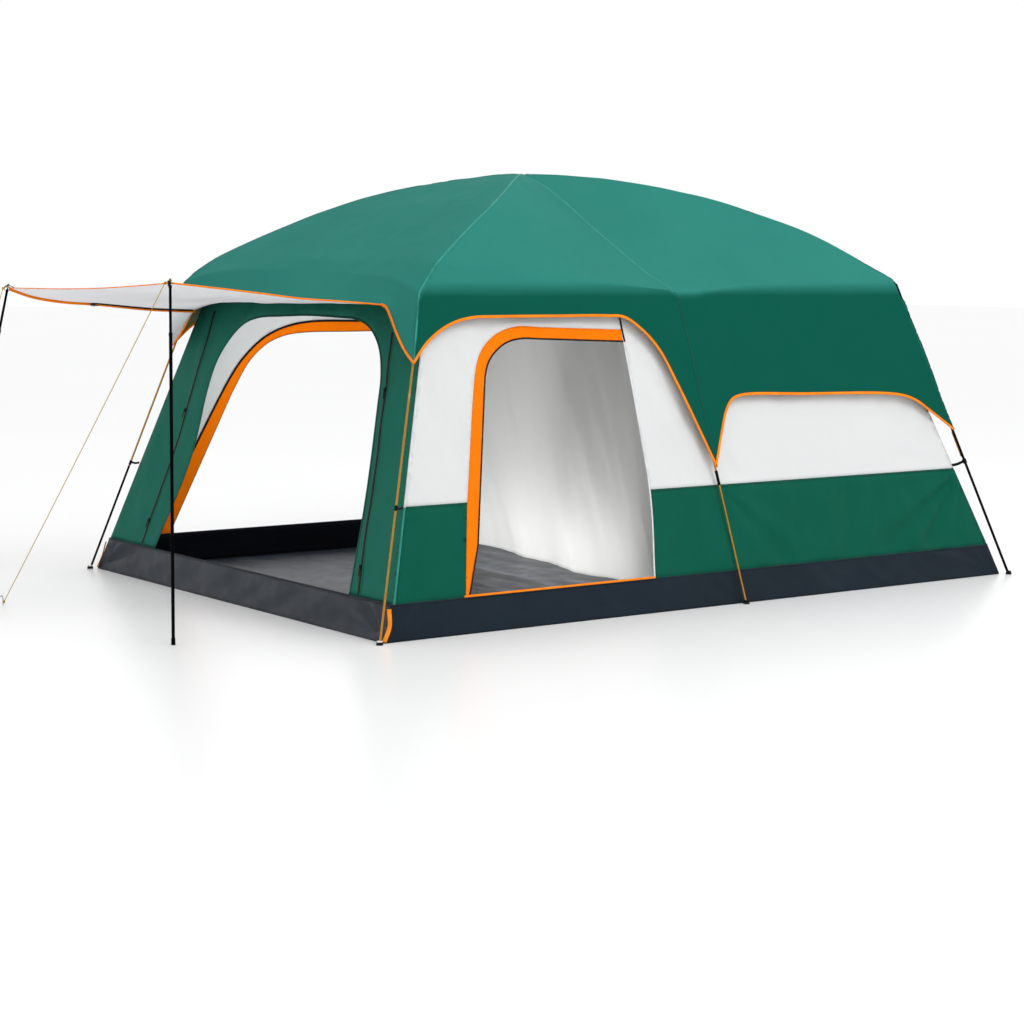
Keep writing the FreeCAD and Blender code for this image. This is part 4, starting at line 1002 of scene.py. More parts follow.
def build_side_walls():
    """Both long walls: white above, green below, each with an open doorway and its orange band."""
    for side, flip in SIDES:
        door_outer, door_inner, jamb = DOORS[side]
        outer = through(door_outer[1:], 60)
        upper = np.vstack([[jamb[1], (corner_rear(COLOUR_LINE), COLOUR_LINE),
                            (corner_rear(WALL_TOP_REAR), WALL_TOP_REAR),
                            (corner_front(WALL_TOP_FRONT), WALL_TOP_FRONT),
                            (corner_front(COLOUR_LINE), COLOUR_LINE)], outer, [jamb[0]]])
        lower_front = [(corner_front(WALL_BOTTOM), WALL_BOTTOM), door_outer[0], door_outer[1],
                       (corner_front(COLOUR_LINE), COLOUR_LINE)]
        lower_rear = [jamb[2], (corner_rear(WALL_BOTTOM), WALL_BOTTOM),
                      (corner_rear(COLOUR_LINE), COLOUR_LINE), jamb[1]]
        inner = np.vstack([door_inner[:2], through(door_inner[2:], 60)])
        band = np.vstack([[door_outer[0]], outer, inner[::-1]])
        seed = WALL_SEED[side]

        def place(q):
            return on_side(q) * flip

        def upper_relief(q):
            lift = (waves(q, 0.45, 0.008, seed, (0.6, 1)) + waves(q, 0.14, 0.0026, seed + 1, (1, 0.5))
                    + fan(q, (-0.43, 1.45), (0.55, -0.8), 0.7, 0.65, 15, 0.013, 7)
                    + fan(q, (-1.38, 1.33), (-0.8, 0.3), 0.6, 0.4, 11, 0.004, 8)
                    + fan(q, (corner_rear(1.6), 1.6), (-0.8, -0.5), 0.5, 0.9, 11, 0.010, 9)
                    + fan(q, (1.87, 0.66), (-0.9, 0.3), 0.35, 0.8, 11, 0.009, 2)
                    + fan(q, (0.23, 1.05), (0.75, -0.6), 0.6, 0.6, 11, 0.008, 4))
            return np.minimum(lift, MOST_BULGE)

        def lower_relief(q):
            return (waves(q, 0.30, 0.0065, seed + 2, (1, 0.35)) + waves(q, 0.10, 0.0024, seed + 3, (1, 0.4))
                    + fan(q, (1.95, 0.62), (-0.8, -0.6), 0.7, 0.9, 17, 0.022, 3)
                    + fan(q, (0.05, 0.66), (0.7, -0.7), 0.6, 0.8, 13, 0.012, 4)
                    + fan(q, (-0.44, 0.18), (0.7, 0.6), 0.6, 0.5, 9, 0.008, 5))

        wall = panel(f"side_wall_white_{side}", upper, place, WHITE_WALL, relief=upper_relief)
        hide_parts(f"wall_{side}_upper")
        front = panel(f"side_wall_green_front_{side}", lower_front, place, GREEN_WALL, relief=lower_relief,
                      fade=0.03)
        rear = panel(f"side_wall_green_rear_{side}", lower_rear, place, GREEN_WALL, relief=lower_relief)
        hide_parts(f"wall_{side}_lower")

        def band_relief(q):
            crumple = np.clip((q[:, 0] + 0.95) / 0.4, 0, 1) * (q[:, 1] > 1.3)
            return waves(q, 0.16, 0.0012, seed + 5) + crumple * waves(q, 0.028, 0.0028, seed + 6, (1, 0.45))

        strip = panel(f"door_band_{side}_cloth", band, place, BAND, relief=band_relief,
                      step=0.014, fade=0.006, thickness=0.0016,
                      strip=(run_length([door_outer[0], *outer]) + run_length(inner)) / 2)
        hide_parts(f"door_band_{side}")

        out = np.array([flip[0], 0, -SIDE_WALL[1]])
        outside_zip = spaced(place(inner), 0.015) + out * 0.0012
        zipped = taped(f"door_zip_{side}", outside_zip, out, 0.009, 0.002, ZIP)
        inside_zip = spaced(place(np.vstack([[door_outer[0]], outer])), 0.015) - out * 0.004
        taped(f"door_zip_inside_{side}", inside_zip, out, 0.013, 0.003, ZIP)
        sill_ends = [(door_inner[0][0] - 0.03, SILL_HEIGHT[side]), (jamb[2][0], SILL_HEIGHT[side])]
        sill = spaced(place(sill_ends), 0.02) + out * 0.002
        taped(f"door_sill_{side}", sill, out, 0.011, 0.004, ORANGE)
        tie_y = jamb[0][0]
        tie_line = through([(tie_y - 0.004, 1.515), (tie_y, 1.45), (tie_y + 0.006, 1.386)], 12)
        tie = place(tie_line) + out * 0.004
        taped(f"door_tie_{side}", tie, out, 0.011, 0.0022, SEAM_BLACK)
        jamb_line = spaced(place(through(jamb, 30)), 0.02) + out * 0.0012
        taped(f"jamb_hem_{side}", jamb_line, out, 0.010, 0.0022, SEAM_WHITE)
        # The green corner rib takes the lighter seam tape, a painted highlight on the fold.
        for label, low, high, material, slot in (
                ("green", WALL_BOTTOM, COLOUR_LINE, SEAM_PAINTED_HIGHLIGHT, "green_wall"),
                ("white", COLOUR_LINE, WALL_TOP_FRONT, SEAM_WHITE, "white_wall")):
            rib = spaced(place([(corner_front(z) + 0.004, z) for z in (low, high)]), 0.03)
            rib += np.array([0.002, -0.002, 0]) * flip
            rope(f"corner_rib_{label}_{side}", rib, 0.0055, material)
        seam_route = [((corner_front(COLOUR_LINE), COLOUR_LINE), door_outer[1]),
                      (jamb[1], (corner_rear(COLOUR_LINE), COLOUR_LINE))]
        for number, ends in enumerate(seam_route):
            line = spaced(place(ends), 0.03) + out * 0.001
            taped(f"colour_seam_{number}_{side}", line, out, 0.009, 0.0018, SEAM_DARK)


def build_end_walls():
    """The green front wall with its big doorway, and the rear wall in two colours."""
    low, high = WALL_BOTTOM, WALL_TOP_FRONT
    lintel = through([DOOR_RIGHT[-1], (0.05, 1.507), DOOR_LEFT[-1]], 20)[1:-1]
    door = np.vstack([through(DOOR_RIGHT, 60), lintel, through(DOOR_LEFT, 60)[::-1]])
    outline = np.vstack([door, [(-side_x(low), low), (-side_x(high), high), (side_x(high), high),
                                (side_x(low), low)]])

    def relief(q):
        return (waves(q, 0.34, 0.0055, 51, (1, 0.4)) + waves(q, 0.11, 0.0016, 52, (1, 0.35))
                + fan(q, (1.10, 1.58), (-0.1, -1), 0.35, 0.9, 11, 0.007, 3)
                + fan(q, (-1.10, 1.58), (0.1, -1), 0.35, 0.9, 11, 0.007, 4)
                + fan(q, (1.45, 0.20), (-0.25, 1), 0.35, 0.6, 11, 0.006, 5)
                + fan(q, (-1.45, 0.20), (0.25, 1), 0.35, 0.6, 11, 0.006, 6))

    wall = panel("front_wall_cloth_panel", outline, on_end, FRONT_CLOTH, relief=relief)
    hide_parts("wall_front")
    hem = spaced(on_end(door), 0.02) - [0, 0.0016, 0]
    taped("front_door_hem", hem, (0, -1, 0.308), 0.010, 0.0022, SEAM_DARK)

    for name, bottom, top, material, slot, seed in (
            ("lower", low, COLOUR_LINE, GREEN_WALL, "green_wall", 61),
            ("upper", COLOUR_LINE, WALL_TOP_REAR, WHITE_WALL, "white_wall", 65)):
        corners = [(-side_x(bottom), bottom), (side_x(bottom), bottom), (side_x(top), top),
                   (-side_x(top), top)]

        def rear_relief(q):
            return (waves(q, 0.38, 0.006, seed, (1, 0.5)) + waves(q, 0.12, 0.0016, seed + 1, (1, 0.4))
                    + fan(q, (1.36, 0.66), (-0.9, 0.2), 0.5, 0.9, 11, 0.006, 3)
                    + fan(q, (-1.36, 0.66), (0.9, 0.2), 0.5, 0.9, 11, 0.006, 4))

        piece = panel(f"rear_wall_{name}", corners, lambda q: on_end(q, REAR_WALL), material,
                      relief=rear_relief, step=0.034)
        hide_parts(f"wall_rear_{name}")
    return wall


FRONT_NORMAL = np.array([0, -1, FRONT_WALL[1]]) / math.hypot(1, FRONT_WALL[1])
ZIP_LIFT = 0.0034                 # a front zip's middle above the wall
ZIP_SIZE, ZIP_COVER_SIZE = (0.0155, 0.0030), (0.034, 0.0014)
SLIDER_BACK = 0.016               # from the middle of a slider's CAD solid up to its body
FRONT_TAB, AWNING_TAB = 0.034, 0.018


def build_zips(wall):
    """The two front door zips, laid on the wall, and their four sliders."""
    on_wall = Surface(wall)
    faces_in = on_wall.lay([on_end(ZIP_LEFT[1])[0]], 0)[1][0] @ FRONT_NORMAL < 0
    lift = -ZIP_LIFT if faces_in else ZIP_LIFT
    for side, route in (("left", ZIP_LEFT), ("right", ZIP_RIGHT)):
        route = through(on_end(route), 60)
        line, _ = on_wall.lay(spaced(route, 0.012), lift)
        zipped = taped(f"front_zip_{side}", line, FRONT_NORMAL, *ZIP_SIZE, ZIP)
        if side == "left":
            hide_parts("front_door_zips")
        cover, _ = on_wall.lay(spaced(route, 0.02), lift * 0.45)
        tape_over = taped(f"front_zip_cover_{side}", cover, FRONT_NORMAL, *ZIP_COVER_SIZE, SEAM_FRONT)
    for name, (start, end) in (
            ("zip_slider_right_upper", ZIP_RIGHT[:2]), ("zip_slider_right_lower", ZIP_RIGHT[1:]),
            ("zip_slider_left_upper", ZIP_LEFT[1:]), ("zip_slider_left_lower", ZIP_LEFT[1:])):
        low, high = (np.array(corner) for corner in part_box(name))
        down = on_end(end)[0] - on_end(start)[0]
        down /= np.linalg.norm(down)
        top = on_wall.lay([(low + high) / 2 - down * SLIDER_BACK], lift * 1.9)[0][0]
        piece = zip_slider(name + "_look", top, FRONT_NORMAL, down, name, FRONT_TAB)
        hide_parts(name)


def zip_slider(name, at, normal, down, body, tab, scale=1.3):
    """A zip's slider: a waisted body with a bridge over it, and a pull tab hung from it."""
    z = Vector(normal).normalized()
    y = -Vector(down).normalized()
    x = y.cross(z).normalized()
    y = z.cross(x)
    turn = Matrix((x, y, z)).transposed()
    bm = bmesh.new()

    def block(outline, low, high):
        rings = [[bm.verts.new((a, b, c)) for a, b in outline] for c in (low, high)]
        count = len(outline)
        for k in range(count):
            bm.faces.new((rings[0][k], rings[0][(k + 1) % count], rings[1][(k + 1) % count], rings[1][k]))
        bm.faces.new(rings[0][::-1])
        bm.faces.new(rings[1])

    waist = [(-0.0062, -0.0070), (-0.0045, -0.0082), (0.0045, -0.0082), (0.0062, -0.0070), (0.0058, 0),
             (0.0072, 0.0062), (0.0052, 0.0082), (0.0015, 0.0070), (-0.0015, 0.0070), (-0.0052, 0.0082),
             (-0.0072, 0.0062), (-0.0058, 0)]
    block(waist, -0.0010, 0.0006)
    block(waist, 0.0022, 0.0038)
    block([(-0.0012, -0.004), (0.0012, -0.004), (0.0012, 0.006), (-0.0012, 0.006)], 0.0006, 0.0022)
    for low, high in ((-0.0055, -0.0040), (0.0040, 0.0055)):
        block([(-0.0016, low), (0.0016, low), (0.0016, high), (-0.0016, high)], 0.0038, 0.0062)
    block([(-0.0016, -0.0055), (0.0016, -0.0055), (0.0016, 0.0055), (-0.0016, 0.0055)], 0.0062, 0.0074)
    top, width = -0.004, 0.0042
    half = [(0.7, 0), (1, 0.3), (0.8, 0.92), (0.4, 1)]
    tab_outline = [(-width * half[0][0], top)] + [(width * a, top - b * tab) for a, b in half]
    tab_outline += [(-width * a, top - b * tab) for a, b in half[:0:-1]]
    block(tab_outline, 0.0040, 0.0055)
    block([(a * 0.6, (b - top) * 0.5 + top - 0.4 * tab) for a, b in tab_outline], 0.0055, 0.0062)
    bmesh.ops.recalc_face_normals(bm, faces=bm.faces)
    bmesh.ops.scale(bm, vec=(scale, scale, scale), verts=bm.verts)
    mesh = bpy.data.meshes.new(name)
    bm.to_mesh(mesh)
    bm.free()
    mesh.transform(Matrix.Translation(Vector(at)) @ turn.to_4x4())
    mesh.materials.append(ZIP_METAL)
    obj = bpy.data.objects.new(name, mesh)
    bpy.context.scene.collection.objects.link(obj)
    bevel = obj.modifiers.new("edges", "BEVEL")
    bevel.width = 0.0004
    bevel.segments = 2
    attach(obj, body)
    return obj


def build_tub():
    """The tub: four strips of skirt, the ground sheet, and the seam round the skirt's top."""
    def skirt_side(turn):
        return lambda q: np.column_stack([turn * (HALF_WIDTH - SKIRT_INSET_SIDE * q[:, 1] / SKIRT_TOP), q])

    def skirt_end(turn, inset):
        return lambda q: np.column_stack(
            [q[:, 0], turn * (HALF_LENGTH - inset * q[:, 1] / SKIRT_TOP), q[:, 1]])

    top_x = HALF_WIDTH - SKIRT_INSET_SIDE
    side_outline = [(-HALF_LENGTH, 0.001), (HALF_LENGTH, 0.001), (HALF_LENGTH - SKIRT_INSET_REAR, SKIRT_TOP),
                    (-HALF_LENGTH + SKIRT_INSET_FRONT, SKIRT_TOP)]
    end_outline = [(-HALF_WIDTH, 0.001), (HALF_WIDTH, 0.001), (top_x, SKIRT_TOP), (-top_x, SKIRT_TOP)]

    def long_relief(q):
        drag = sum(fan(q, root, toward, 0.6, 0.5, 16, 0.009, seed) for root, toward, seed in
                   (((2.12, 0.02), (-0.9, 0.40), 4), ((-2.12, 0.02), (0.9, 0.40), 6)))
        return waves(q, 0.22, 0.0040, 71, (0.5, 1)) + waves(q, 0.07, 0.0014, 72, (0.5, 1)) + drag

    def front_relief(q):
        drag = sum(fan(q, root, toward, 0.55, 0.9, 12, 0.020, seed) for root, toward, seed in
                   (((1.50, 0.03), (-0.9, 0.32), 3), ((-1.50, 0.03), (0.9, 0.32), 5)))
        return waves(q, 0.20, 0.0060, 73, (0.45, 1)) + waves(q, 0.06, 0.0016, 74, (0.5, 1)) + drag

    for name, outline, place, material, relief in (
            ("right", side_outline, skirt_side(1), SKIRT, long_relief),
            ("left", side_outline, skirt_side(-1), SKIRT, long_relief),
            ("front", end_outline, skirt_end(-1, SKIRT_INSET_FRONT), SKIRT_FRONT, front_relief),
            ("rear", end_outline, skirt_end(1, SKIRT_INSET_REAR), SKIRT, long_relief)):
        piece = panel("tub_" + name, outline, place, material, relief=relief, inner=SKIRT_INSIDE,
                      step=0.022, fade=0.03,
                      flip=name in ("left", "rear"))
        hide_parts("skirt_" + name)

    def floor_relief(q):
        return (0.0095 + waves(q, 0.11, 0.0034, 75, (0.16, 1)) + waves(q, 0.5, 0.0015, 76)
                + waves(q, 0.05, 0.0008, 77, (0.2, 1)))

    edge_x, edge_y = HALF_WIDTH - 0.006, HALF_LENGTH - 0.006
    corners = [(-edge_x, -edge_y), (edge_x, -edge_y), (edge_x, edge_y), (-edge_x, edge_y)]
    floor = panel("floor_cloth_sheet", corners, lambda q: np.column_stack([q, np.full(len(q), 0.0015)]),
                  GROUNDSHEET, relief=floor_relief, step=0.045, fade=0.12)
    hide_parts("floor_sheet")

    front_y, rear_y = SKIRT_INSET_FRONT - HALF_LENGTH, HALF_LENGTH - SKIRT_INSET_REAR
    ring = [np.array((x, y, SKIRT_TOP)) for x, y in
            ((-top_x, front_y), (top_x, front_y), (top_x, rear_y), (-top_x, rear_y))]
    for number, (a, b) in enumerate(zip(ring, ring[1:] + ring[:1])):
        outward = np.cross((b - a) / np.linalg.norm(b - a), (0, 0, 1))
        line = spaced([a, b], 0.03) + outward * 0.0014
        taped(f"tub_seam_{number}", line, outward, 0.010, 0.002, SEAM_TUB)


def build_divider():
    """The curtain between the two rooms, drawn slantwise to the near wall."""
    rows, columns = 60, 90
    low = through(DIVIDER_FLOOR, columns)
    high = through(DIVIDER_TOP, columns)
    t = np.linspace(0, 1, rows)[:, None, None]
    grid = ((1 - t) * low[None] + t * high[None]).reshape(-1, 3)
    flat = np.column_stack([np.tile(np.linspace(0, 3.0, columns), rows),
                            np.repeat(np.linspace(0, 1.7, rows), columns)])
    slant = math.radians(36)
    drawn = np.stack([flat[:, 0] * math.cos(slant) + flat[:, 1] * math.sin(slant),
                      flat[:, 1] * math.cos(slant) - flat[:, 0] * math.sin(slant)], axis=1)
    push = (waves(drawn, 0.34, 0.012, 81, (1, 0.22)) + waves(drawn, 0.11, 0.0035, 82, (1, 0.2))
            + fan(flat, (2.9, 0.25), (-0.8, 0.6), 0.5, 1.1, 16, 0.012, 3))
    s = np.tile(np.linspace(0, 1, columns), rows)
    grid[:, 1] += push * (np.minimum(s, 1 - s) * 12).clip(0, 1)
    curtain = made("divider_curtain", grid, grid_faces(rows, columns), CURTAIN, "tent")
    thicken(curtain)
    declared(curtain, (run_length(low), np.linalg.norm(high - low, axis=1).max()))
    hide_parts("room_divider")


def build_ceiling():
    """The inner tent's roof, hung from the rods."""
    ring = CEILING_CORNERS + [(-x, y, z) for x, y, z in reversed(CEILING_CORNERS)]
    rows, per_side = 26, 18
    rim = np.vstack([evenly([a, b], per_side + 1)[:-1] for a, b in zip(ring, ring[1:] + ring[:1])])
    count = len(rim)
    top = np.array(CEILING_TOP)
    verts = [top]
    for i in range(1, rows + 1):
        share = i / rows
        level = top + (rim - top) * share
        level[:, 2] -= 0.018 * math.sin(math.pi * share)
        verts.extend(level)
    verts = np.array(verts)
    inner = slice(1, 1 + (rows - 1) * count)
    verts[inner, 2] += waves(verts[inner], 0.28, 0.005, 91)
    faces = [(0, 1 + k, 1 + (k + 1) % count) for k in range(count)]
    for i in range(rows - 1):
        for k in range(count):
            l = (k + 1) % count
            a, b = 1 + i * count, 1 + (i + 1) * count
            faces.append((a + k, b + k, b + l, a + l))
    mesh = made("ceiling_mesh", verts, faces, WHITE_WALL, "tent")
    thicken(mesh)
    width = 2 * math.dist(CEILING_TOP, CEILING_CORNERS[1])
    length = sum(math.dist(CEILING_TOP, (0, y, z)) for _, y, z in (CEILING_CORNERS[0], CEILING_CORNERS[2]))
    declared(mesh, (width, length))
    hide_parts("ceiling")


# ---- frame --------------------------------------------------------------------------------------
LEGS = {"front": (FRONT_FOOT, FRONT_HUB), "middle": (MIDDLE_FOOT, MIDDLE_HUB), "rear": (REAR_FOOT, REAR_HUB)}
KEPT_NODES = {
    "leg_front_right": GOLD, "leg_front_left": GOLD, "leg_middle_right": GOLD, "leg_middle_left": GOLD,
    "leg_rear_right": DARK_TUBE, "leg_rear_left": DARK_TUBE, "roof_rods_front": ROD, "roof_rods_middle": ROD,
    "roof_rods_rear": ROD, "eave_elbows": PLASTIC, "crown_hub": PLASTIC,
    "pole_near_upper": BLACK_TUBE, "pole_near_lower": BLACK_TUBE, "pole_far_upper": BLACK_TUBE,
    "pole_far_lower": BLACK_TUBE, "ground_pegs": PEG, "awning_grommets": GROMMET}
CUP_OUTLINE = [(0.0002, 0.0), (0.0002, 0.0150), (0.0012, 0.0166), (0.0032, 0.0170), (0.0118, 0.0160),
               (0.0140, 0.0150), (0.0149, 0.0135), (0.0149, 0.0), (0.0002, 0.0)]
RING_OUTLINE = [(0.0150, 0.0140), (0.0170, 0.0147), (0.0195, 0.0140), (0.0205, 0.0115), (0.0203, 0.0),
                (0.0150, 0.0), (0.0150, 0.0140)]


def finish_kept_nodes():
    """Gives the plain CAD nodes that stay their materials."""
    for name, material in KEPT_NODES.items():
        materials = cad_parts[name].data.materials
        for number in range(len(materials)):
            materials[number] = material


def sleeve(name, foot, hub, low, high, radius, material):
    """A short tube over a leg, with chamfered ends."""
    start = leg_point(foot, hub, low)
    way = leg_point(foot, hub, high) - start
    length = float(np.linalg.norm(way))
    soft = 0.0008
    return lathe(name, start, way, [(0, radius - soft), (soft, radius), (length - soft, radius),
                                    (length, radius - soft)], material)


def leg_ends(place, flip):
    """A leg's foot and its upper end, on the side that flip gives."""
    return (np.array(end) * flip for end in LEGS[place])


# Leg clips: height on the leg, where the strap meets the wall, inner and outer radius, strap's width
CLIPS = {"front": (0.624, (1.377, -1.950, 0.622), 0.0056, 0.0078, 0.012),
         "rear": (0.664, (1.366, 1.886, 0.640), 0.0077, 0.0117, 0.017)}


def build_clips():
    """Rings on the front and rear legs with webbing to the inner tent, and sleeves on the middle legs."""
    for side, flip in SIDES:
        for place, (height, wall, radius, outer, width) in CLIPS.items():
            foot, hub = leg_ends(place, flip)
            low, middle = leg_point(foot, hub, height - 0.013), leg_point(foot, hub, height)
            collar = [(0, outer - 0.001), (0.001, outer), (0.009, outer), (0.0105, outer - 0.0012)]
            shell = collar + [(0.026 - along, reach) for along, reach in collar[::-1]]
            shell = [(0, radius)] + shell + [(0.026, radius), (0, radius)]
            lathe(f"leg_clip_{place}_{side}", low, hub - foot, shell, PLASTIC)
            run = wall * flip - middle
            start = middle + run / np.linalg.norm(run) * (outer - 0.001)
            sag = through([start, (start + wall * flip) / 2 - (0, 0, 0.004), wall * flip], 12)
            taped(f"leg_strap_{place}_{side}", sag, np.cross(run, (0, 0, 1)), width, 0.0035,
                                SEAM_BLACK)
        foot, hub = leg_ends("middle", flip)
        sleeve(f"leg_sleeve_middle_{side}", foot, hub, 0.625, 0.701, 0.0080, PLASTIC)
    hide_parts("leg_clips")


STRAP_TOP, STRAP_FOOT = np.array((1.500, -2.108, 0.158)), np.array((1.526, -2.152, 0.008))
STRAP_MIDDLE = (STRAP_TOP + STRAP_FOOT) / 2 + (0.010, 0.010, -0.004)


def build_frame():
    """The legs' cups, clips and sleeves, a dark sleeve painted as shade on the far front leg's lower part,
    the rods inside the rear legs, and the front corners' straps.
    """
    finish_kept_nodes()
    build_clips()
    for side, flip in SIDES:
        for place in LEGS:
            base, _ = leg_ends(place, flip)
            lathe(f"foot_cup_{place}_{side}", base, (0, 0, 1), CUP_OUTLINE, RUBBER)
            lining = PALE_PLASTIC if place == "front" else PLASTIC
            lathe(f"foot_ring_{place}_{side}", base, (0, 0, 1), RING_OUTLINE, lining)
        foot, hub = leg_ends("rear", flip)
        line = [leg_point(foot, hub, z) + flip * (-0.0066, -0.0066, 0) for z in (0.69, 0.76, 0.83)]
        rope(f"leg_rear_inner_{side}", line, 0.0030, GOLD)
    # Painted shade: a dark sleeve over the far front leg below its clip, where that gold leg lies in shade.
    sleeve("leg_painted_shade_front_left", mirror(FRONT_FOOT), mirror(FRONT_HUB), 0.024, 0.606, 0.0063,
                   DARK_TUBE)
    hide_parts("foot_cups")

    for side, flip in SIDES:
        line = spaced(through([STRAP_TOP, STRAP_MIDDLE, STRAP_FOOT], 20) * flip, 0.008)
        strap = taped(f"corner_strap_{side}", line, flip * (0.72, -0.69, 0.2), 0.021, 0.0024, WEBBING)
        if side == "right":
            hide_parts("corner_straps")


# ---- awning poles, guylines and pegs ------------------------------------------------------------
def follow_nurbs(points, count):
    """Places along the NURBS route through the given control points."""
    curve = bpy.data.curves.new("route", "CURVE")
    curve.dimensions = "3D"
    spline = curve.splines.new("NURBS")
    spline.points.add(len(points) - 1)
    for control, place in zip(spline.points, points):
        control.co = (*place, 1.0)
    spline.order_u = 3
    spline.use_endpoint_u = True
    spline.resolution_u = count
    carrier = bpy.data.objects.new("route", curve)
    bpy.context.scene.collection.objects.link(carrier)
    mesh = bpy.data.meshes.new_from_object(carrier)
    route = np.array([tuple(v.co) for v in mesh.vertices])
    bpy.data.objects.remove(carrier)
    bpy.data.curves.remove(curve)
    bpy.data.meshes.remove(mesh)
    if np.linalg.norm(route[0] - points[0]) > np.linalg.norm(route[-1] - points[0]):
        route = route[::-1]
    return route


def knot(name, at, way, radius, material, body):
    """A round turn with a half hitch: a short coil lying across the cord, and its tail."""
    along = np.array(way, float) / np.linalg.norm(way)
    side = np.cross(along, (0, 0, 1) if abs(along[2]) < 0.9 else (1, 0, 0))
    side /= np.linalg.norm(side)
    up = np.cross(side, along)
    turns = 2.6
    t = np.linspace(0, turns * 2 * math.pi, 48)
    ring = radius * 1.9
    line = (np.array(at) + np.outer(np.cos(t), side) * ring + np.outer(np.sin(t), up) * ring
            + np.outer((t / t[-1] - 0.5) * radius * 4.6, along))
    tail = line[-1] + np.outer(np.linspace(0, 1, 8)[1:] * radius * 6, along * -0.4 + side * 0.5 - up * 0.5)
    return rope(name, np.vstack([line, tail]), radius * 0.92, material, body, 8)


def build_guylines():
    """Both guylines, from the awning's corners to their pegs."""
    radius = GUYLINE_DIAMETER / 2
    for side, route in (("near", GUYLINE_NEAR), ("far", GUYLINE_FAR)):
        line = follow_nurbs(route, 40)
        way = line[1] - line[0]
        cord = rope(f"guyline_{side}_cord", line, radius, CORD, None, 10)
        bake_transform(cord)
        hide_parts("guyline_" + side)
        top = knot(f"guyline_{side}_hitch", line[0], way, radius, CORD, "awning")
        foot = knot(f"guyline_{side}_knot", line[-1], line[-1] - line[-2], radius, CORD, "tent")
        length = float(run_length(line))


def build_pole_details():
    """The small parts on the awning poles."""
    for side, corner in (("near", NEAR_CORNER), ("far", FAR_CORNER)):
        corner = np.array(corner)
        body = f"pole_{side}_upper"
        foot = np.array(NEAR_POLE_FOOT if side == "near" else FAR_POLE_FOOT)
        up = (corner - foot) / np.linalg.norm(corner - foot)
        cap = lathe(f"pole_cap_{side}", corner - up * 0.026, up,
                    [(0, 0.0070), (0.001, 0.0078), (0.010, 0.0078), (0.0125, 0.0070), (0.0135, 0.0046)],
                     PLASTIC,
                    body)
        inward = -1 if side == "near" else 1
        loop = [corner + (inward * 0.052, 0.018, -0.004), corner + (inward * 0.024, 0.006, 0.006),
                corner + (0.0, 0.0, 0.0085), corner + (-inward * 0.012, -0.010, 0.003),
                corner + (-inward * 0.014, -0.014, -0.016)]
        tag = taped(f"corner_webbing_{side}", spaced(through(loop, 24), 0.004), (0, 0.1, 1), 0.015, 0.0022,
                    SEAM_BLACK, "awning")
        line = follow_nurbs(GUYLINE_NEAR if side == "near" else GUYLINE_FAR, 20)
        ring = [corner + up * 0.010 + np.array((math.cos(t), math.sin(t), 0.1 * math.cos(t))) * 0.0075
                for t in np.linspace(0, 2 * math.pi, 25)]
        tied = np.vstack([ring, line[:1]])
        tie = rope(f"guyline_{side}_loop", tied, GUYLINE_DIAMETER / 2, CORD, "awning", 8)


# ---- stage, camera and light --------------------------------------------------------------------
LENS = 78.35
SENSOR = 36.0
AZIMUTH, ELEVATION, ROLL = 53.574, 6.529, 0.505
CAMERA_PLACE = (10.246, -7.843, 1.823)


def build_stage():
    """The ground, for the picture only."""
    outline = [(-60, -60), (60, -60), (60, 60), (-60, 60)]
    floor = made("studio_floor", [(x, y, 0) for x, y in outline], [(0, 1, 2, 3)], FLOOR, None, smooth=False)


def floor_material():
    """The ground's material."""
    s = Shader("studio_floor", 0.30, specular=0.45)
    s.feed("Base Color", s.ramp(s.noise(0.25, 1.0), linear("f7f7f8"), linear("f8f8f8")))
    s.feed("Roughness", s.between(s.noise(0.4, 1.0), 0.29, 0.31))
    return s.material


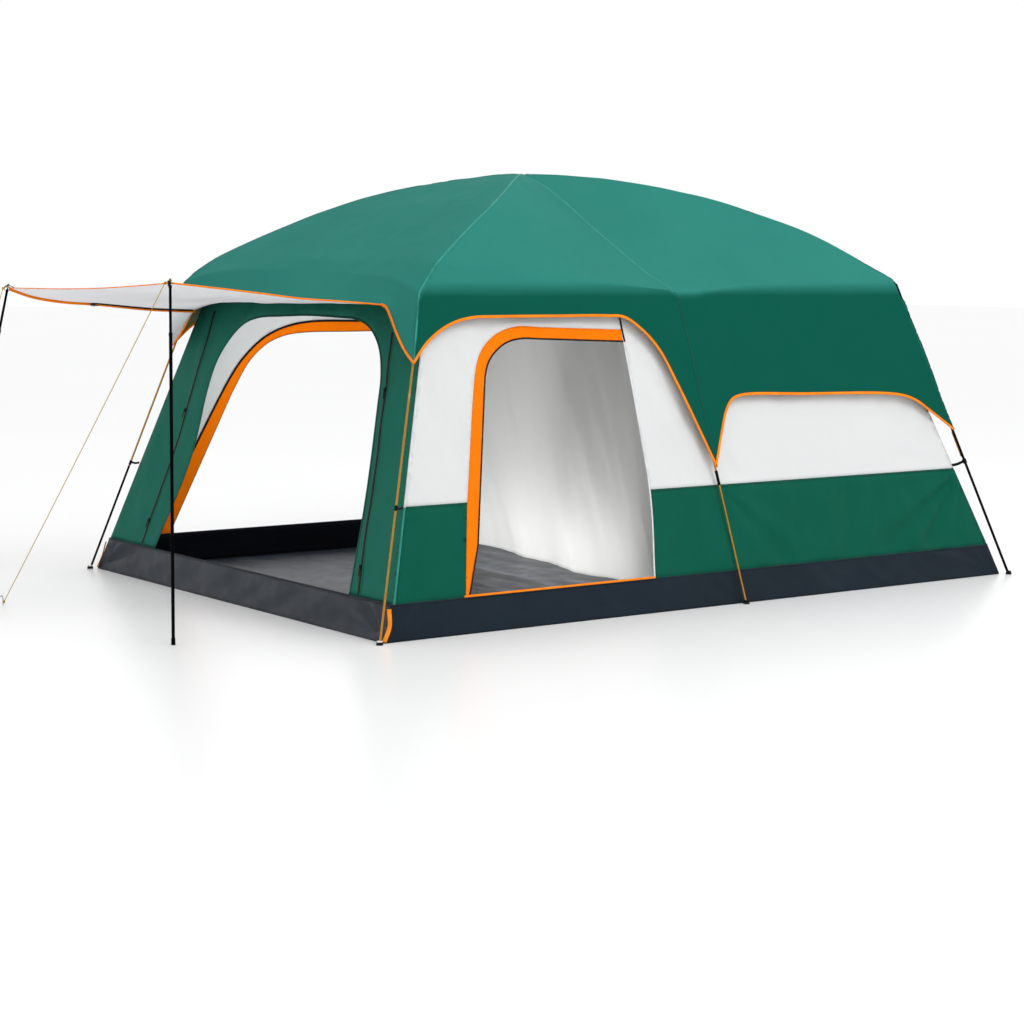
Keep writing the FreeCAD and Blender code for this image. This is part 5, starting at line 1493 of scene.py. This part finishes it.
def place_camera():
    """The camera that fits the photo."""
    a, e, r = (math.radians(v) for v in (AZIMUTH, ELEVATION, ROLL))
    back = Vector((math.sin(a) * math.cos(e), -math.cos(a) * math.cos(e), math.sin(e)))
    right = (-back).cross(Vector((0, 0, 1))).normalized()
    up = right.cross(-back)
    right, up = math.cos(r) * right + math.sin(r) * up, -math.sin(r) * right + math.cos(r) * up
    data = bpy.data.cameras.new("camera")
    data.lens = LENS
    data.sensor_width = SENSOR
    data.clip_end = 200
    camera = bpy.data.objects.new("camera", data)
    bpy.context.scene.collection.objects.link(camera)
    camera.matrix_world = Matrix.Translation(CAMERA_PLACE) @ Matrix((right, up, back)).transposed().to_4x4()
    bpy.context.scene.camera = camera


def area_light(name, place, aim, size, power):
    """One area light."""
    data = bpy.data.lights.new(name, "AREA")
    data.shape = "RECTANGLE"
    data.size, data.size_y = size
    data.energy = power
    light = bpy.data.objects.new(name, data)
    light.location = place
    light.rotation_euler = (Vector(aim) - Vector(place)).to_track_quat("-Z", "Y").to_euler()
    bpy.context.scene.collection.objects.link(light)
    light.visible_camera = False
    light.visible_glossy = False


def light_scene():
    """The lights and the world round the tent."""
    world = bpy.data.worlds.new("studio")
    bpy.context.scene.world = world
    world.use_nodes = True
    background = world.node_tree.nodes["Background"]
    background.inputs["Color"].default_value = (1.0, 1.0, 1.0, 1.0)
    background.inputs["Strength"].default_value = 1.0
    bpy.context.scene.view_settings.view_transform = "Standard"
    area_light("overhead", (7.0, 0.8, 7.4), (0, 0, 0.6), (5.0, 5.0), 340)
    area_light("curtain_fill", (-0.35, -0.35, 0.09), (-0.30, 0.20, 0.26), (2.0, 0.12), 7.5)
    area_light("far_wall_fill", (-0.05, -1.15, 0.90), (-1.4, -1.15, 1.0), (0.9, 0.9), 12)


# ---- all together -------------------------------------------------------------------------------
FLOOR = floor_material()
place_camera()
light_scene()
build_stage()
build_guylines()

ON_FLY = Surface(build_fly())
bind_fly(ON_FLY)
sew_fly(ON_FLY)
build_wing(build_awning())
build_side_walls()
build_zips(build_end_walls())
build_tub()
build_divider()
build_ceiling()
build_frame()
build_pole_details()
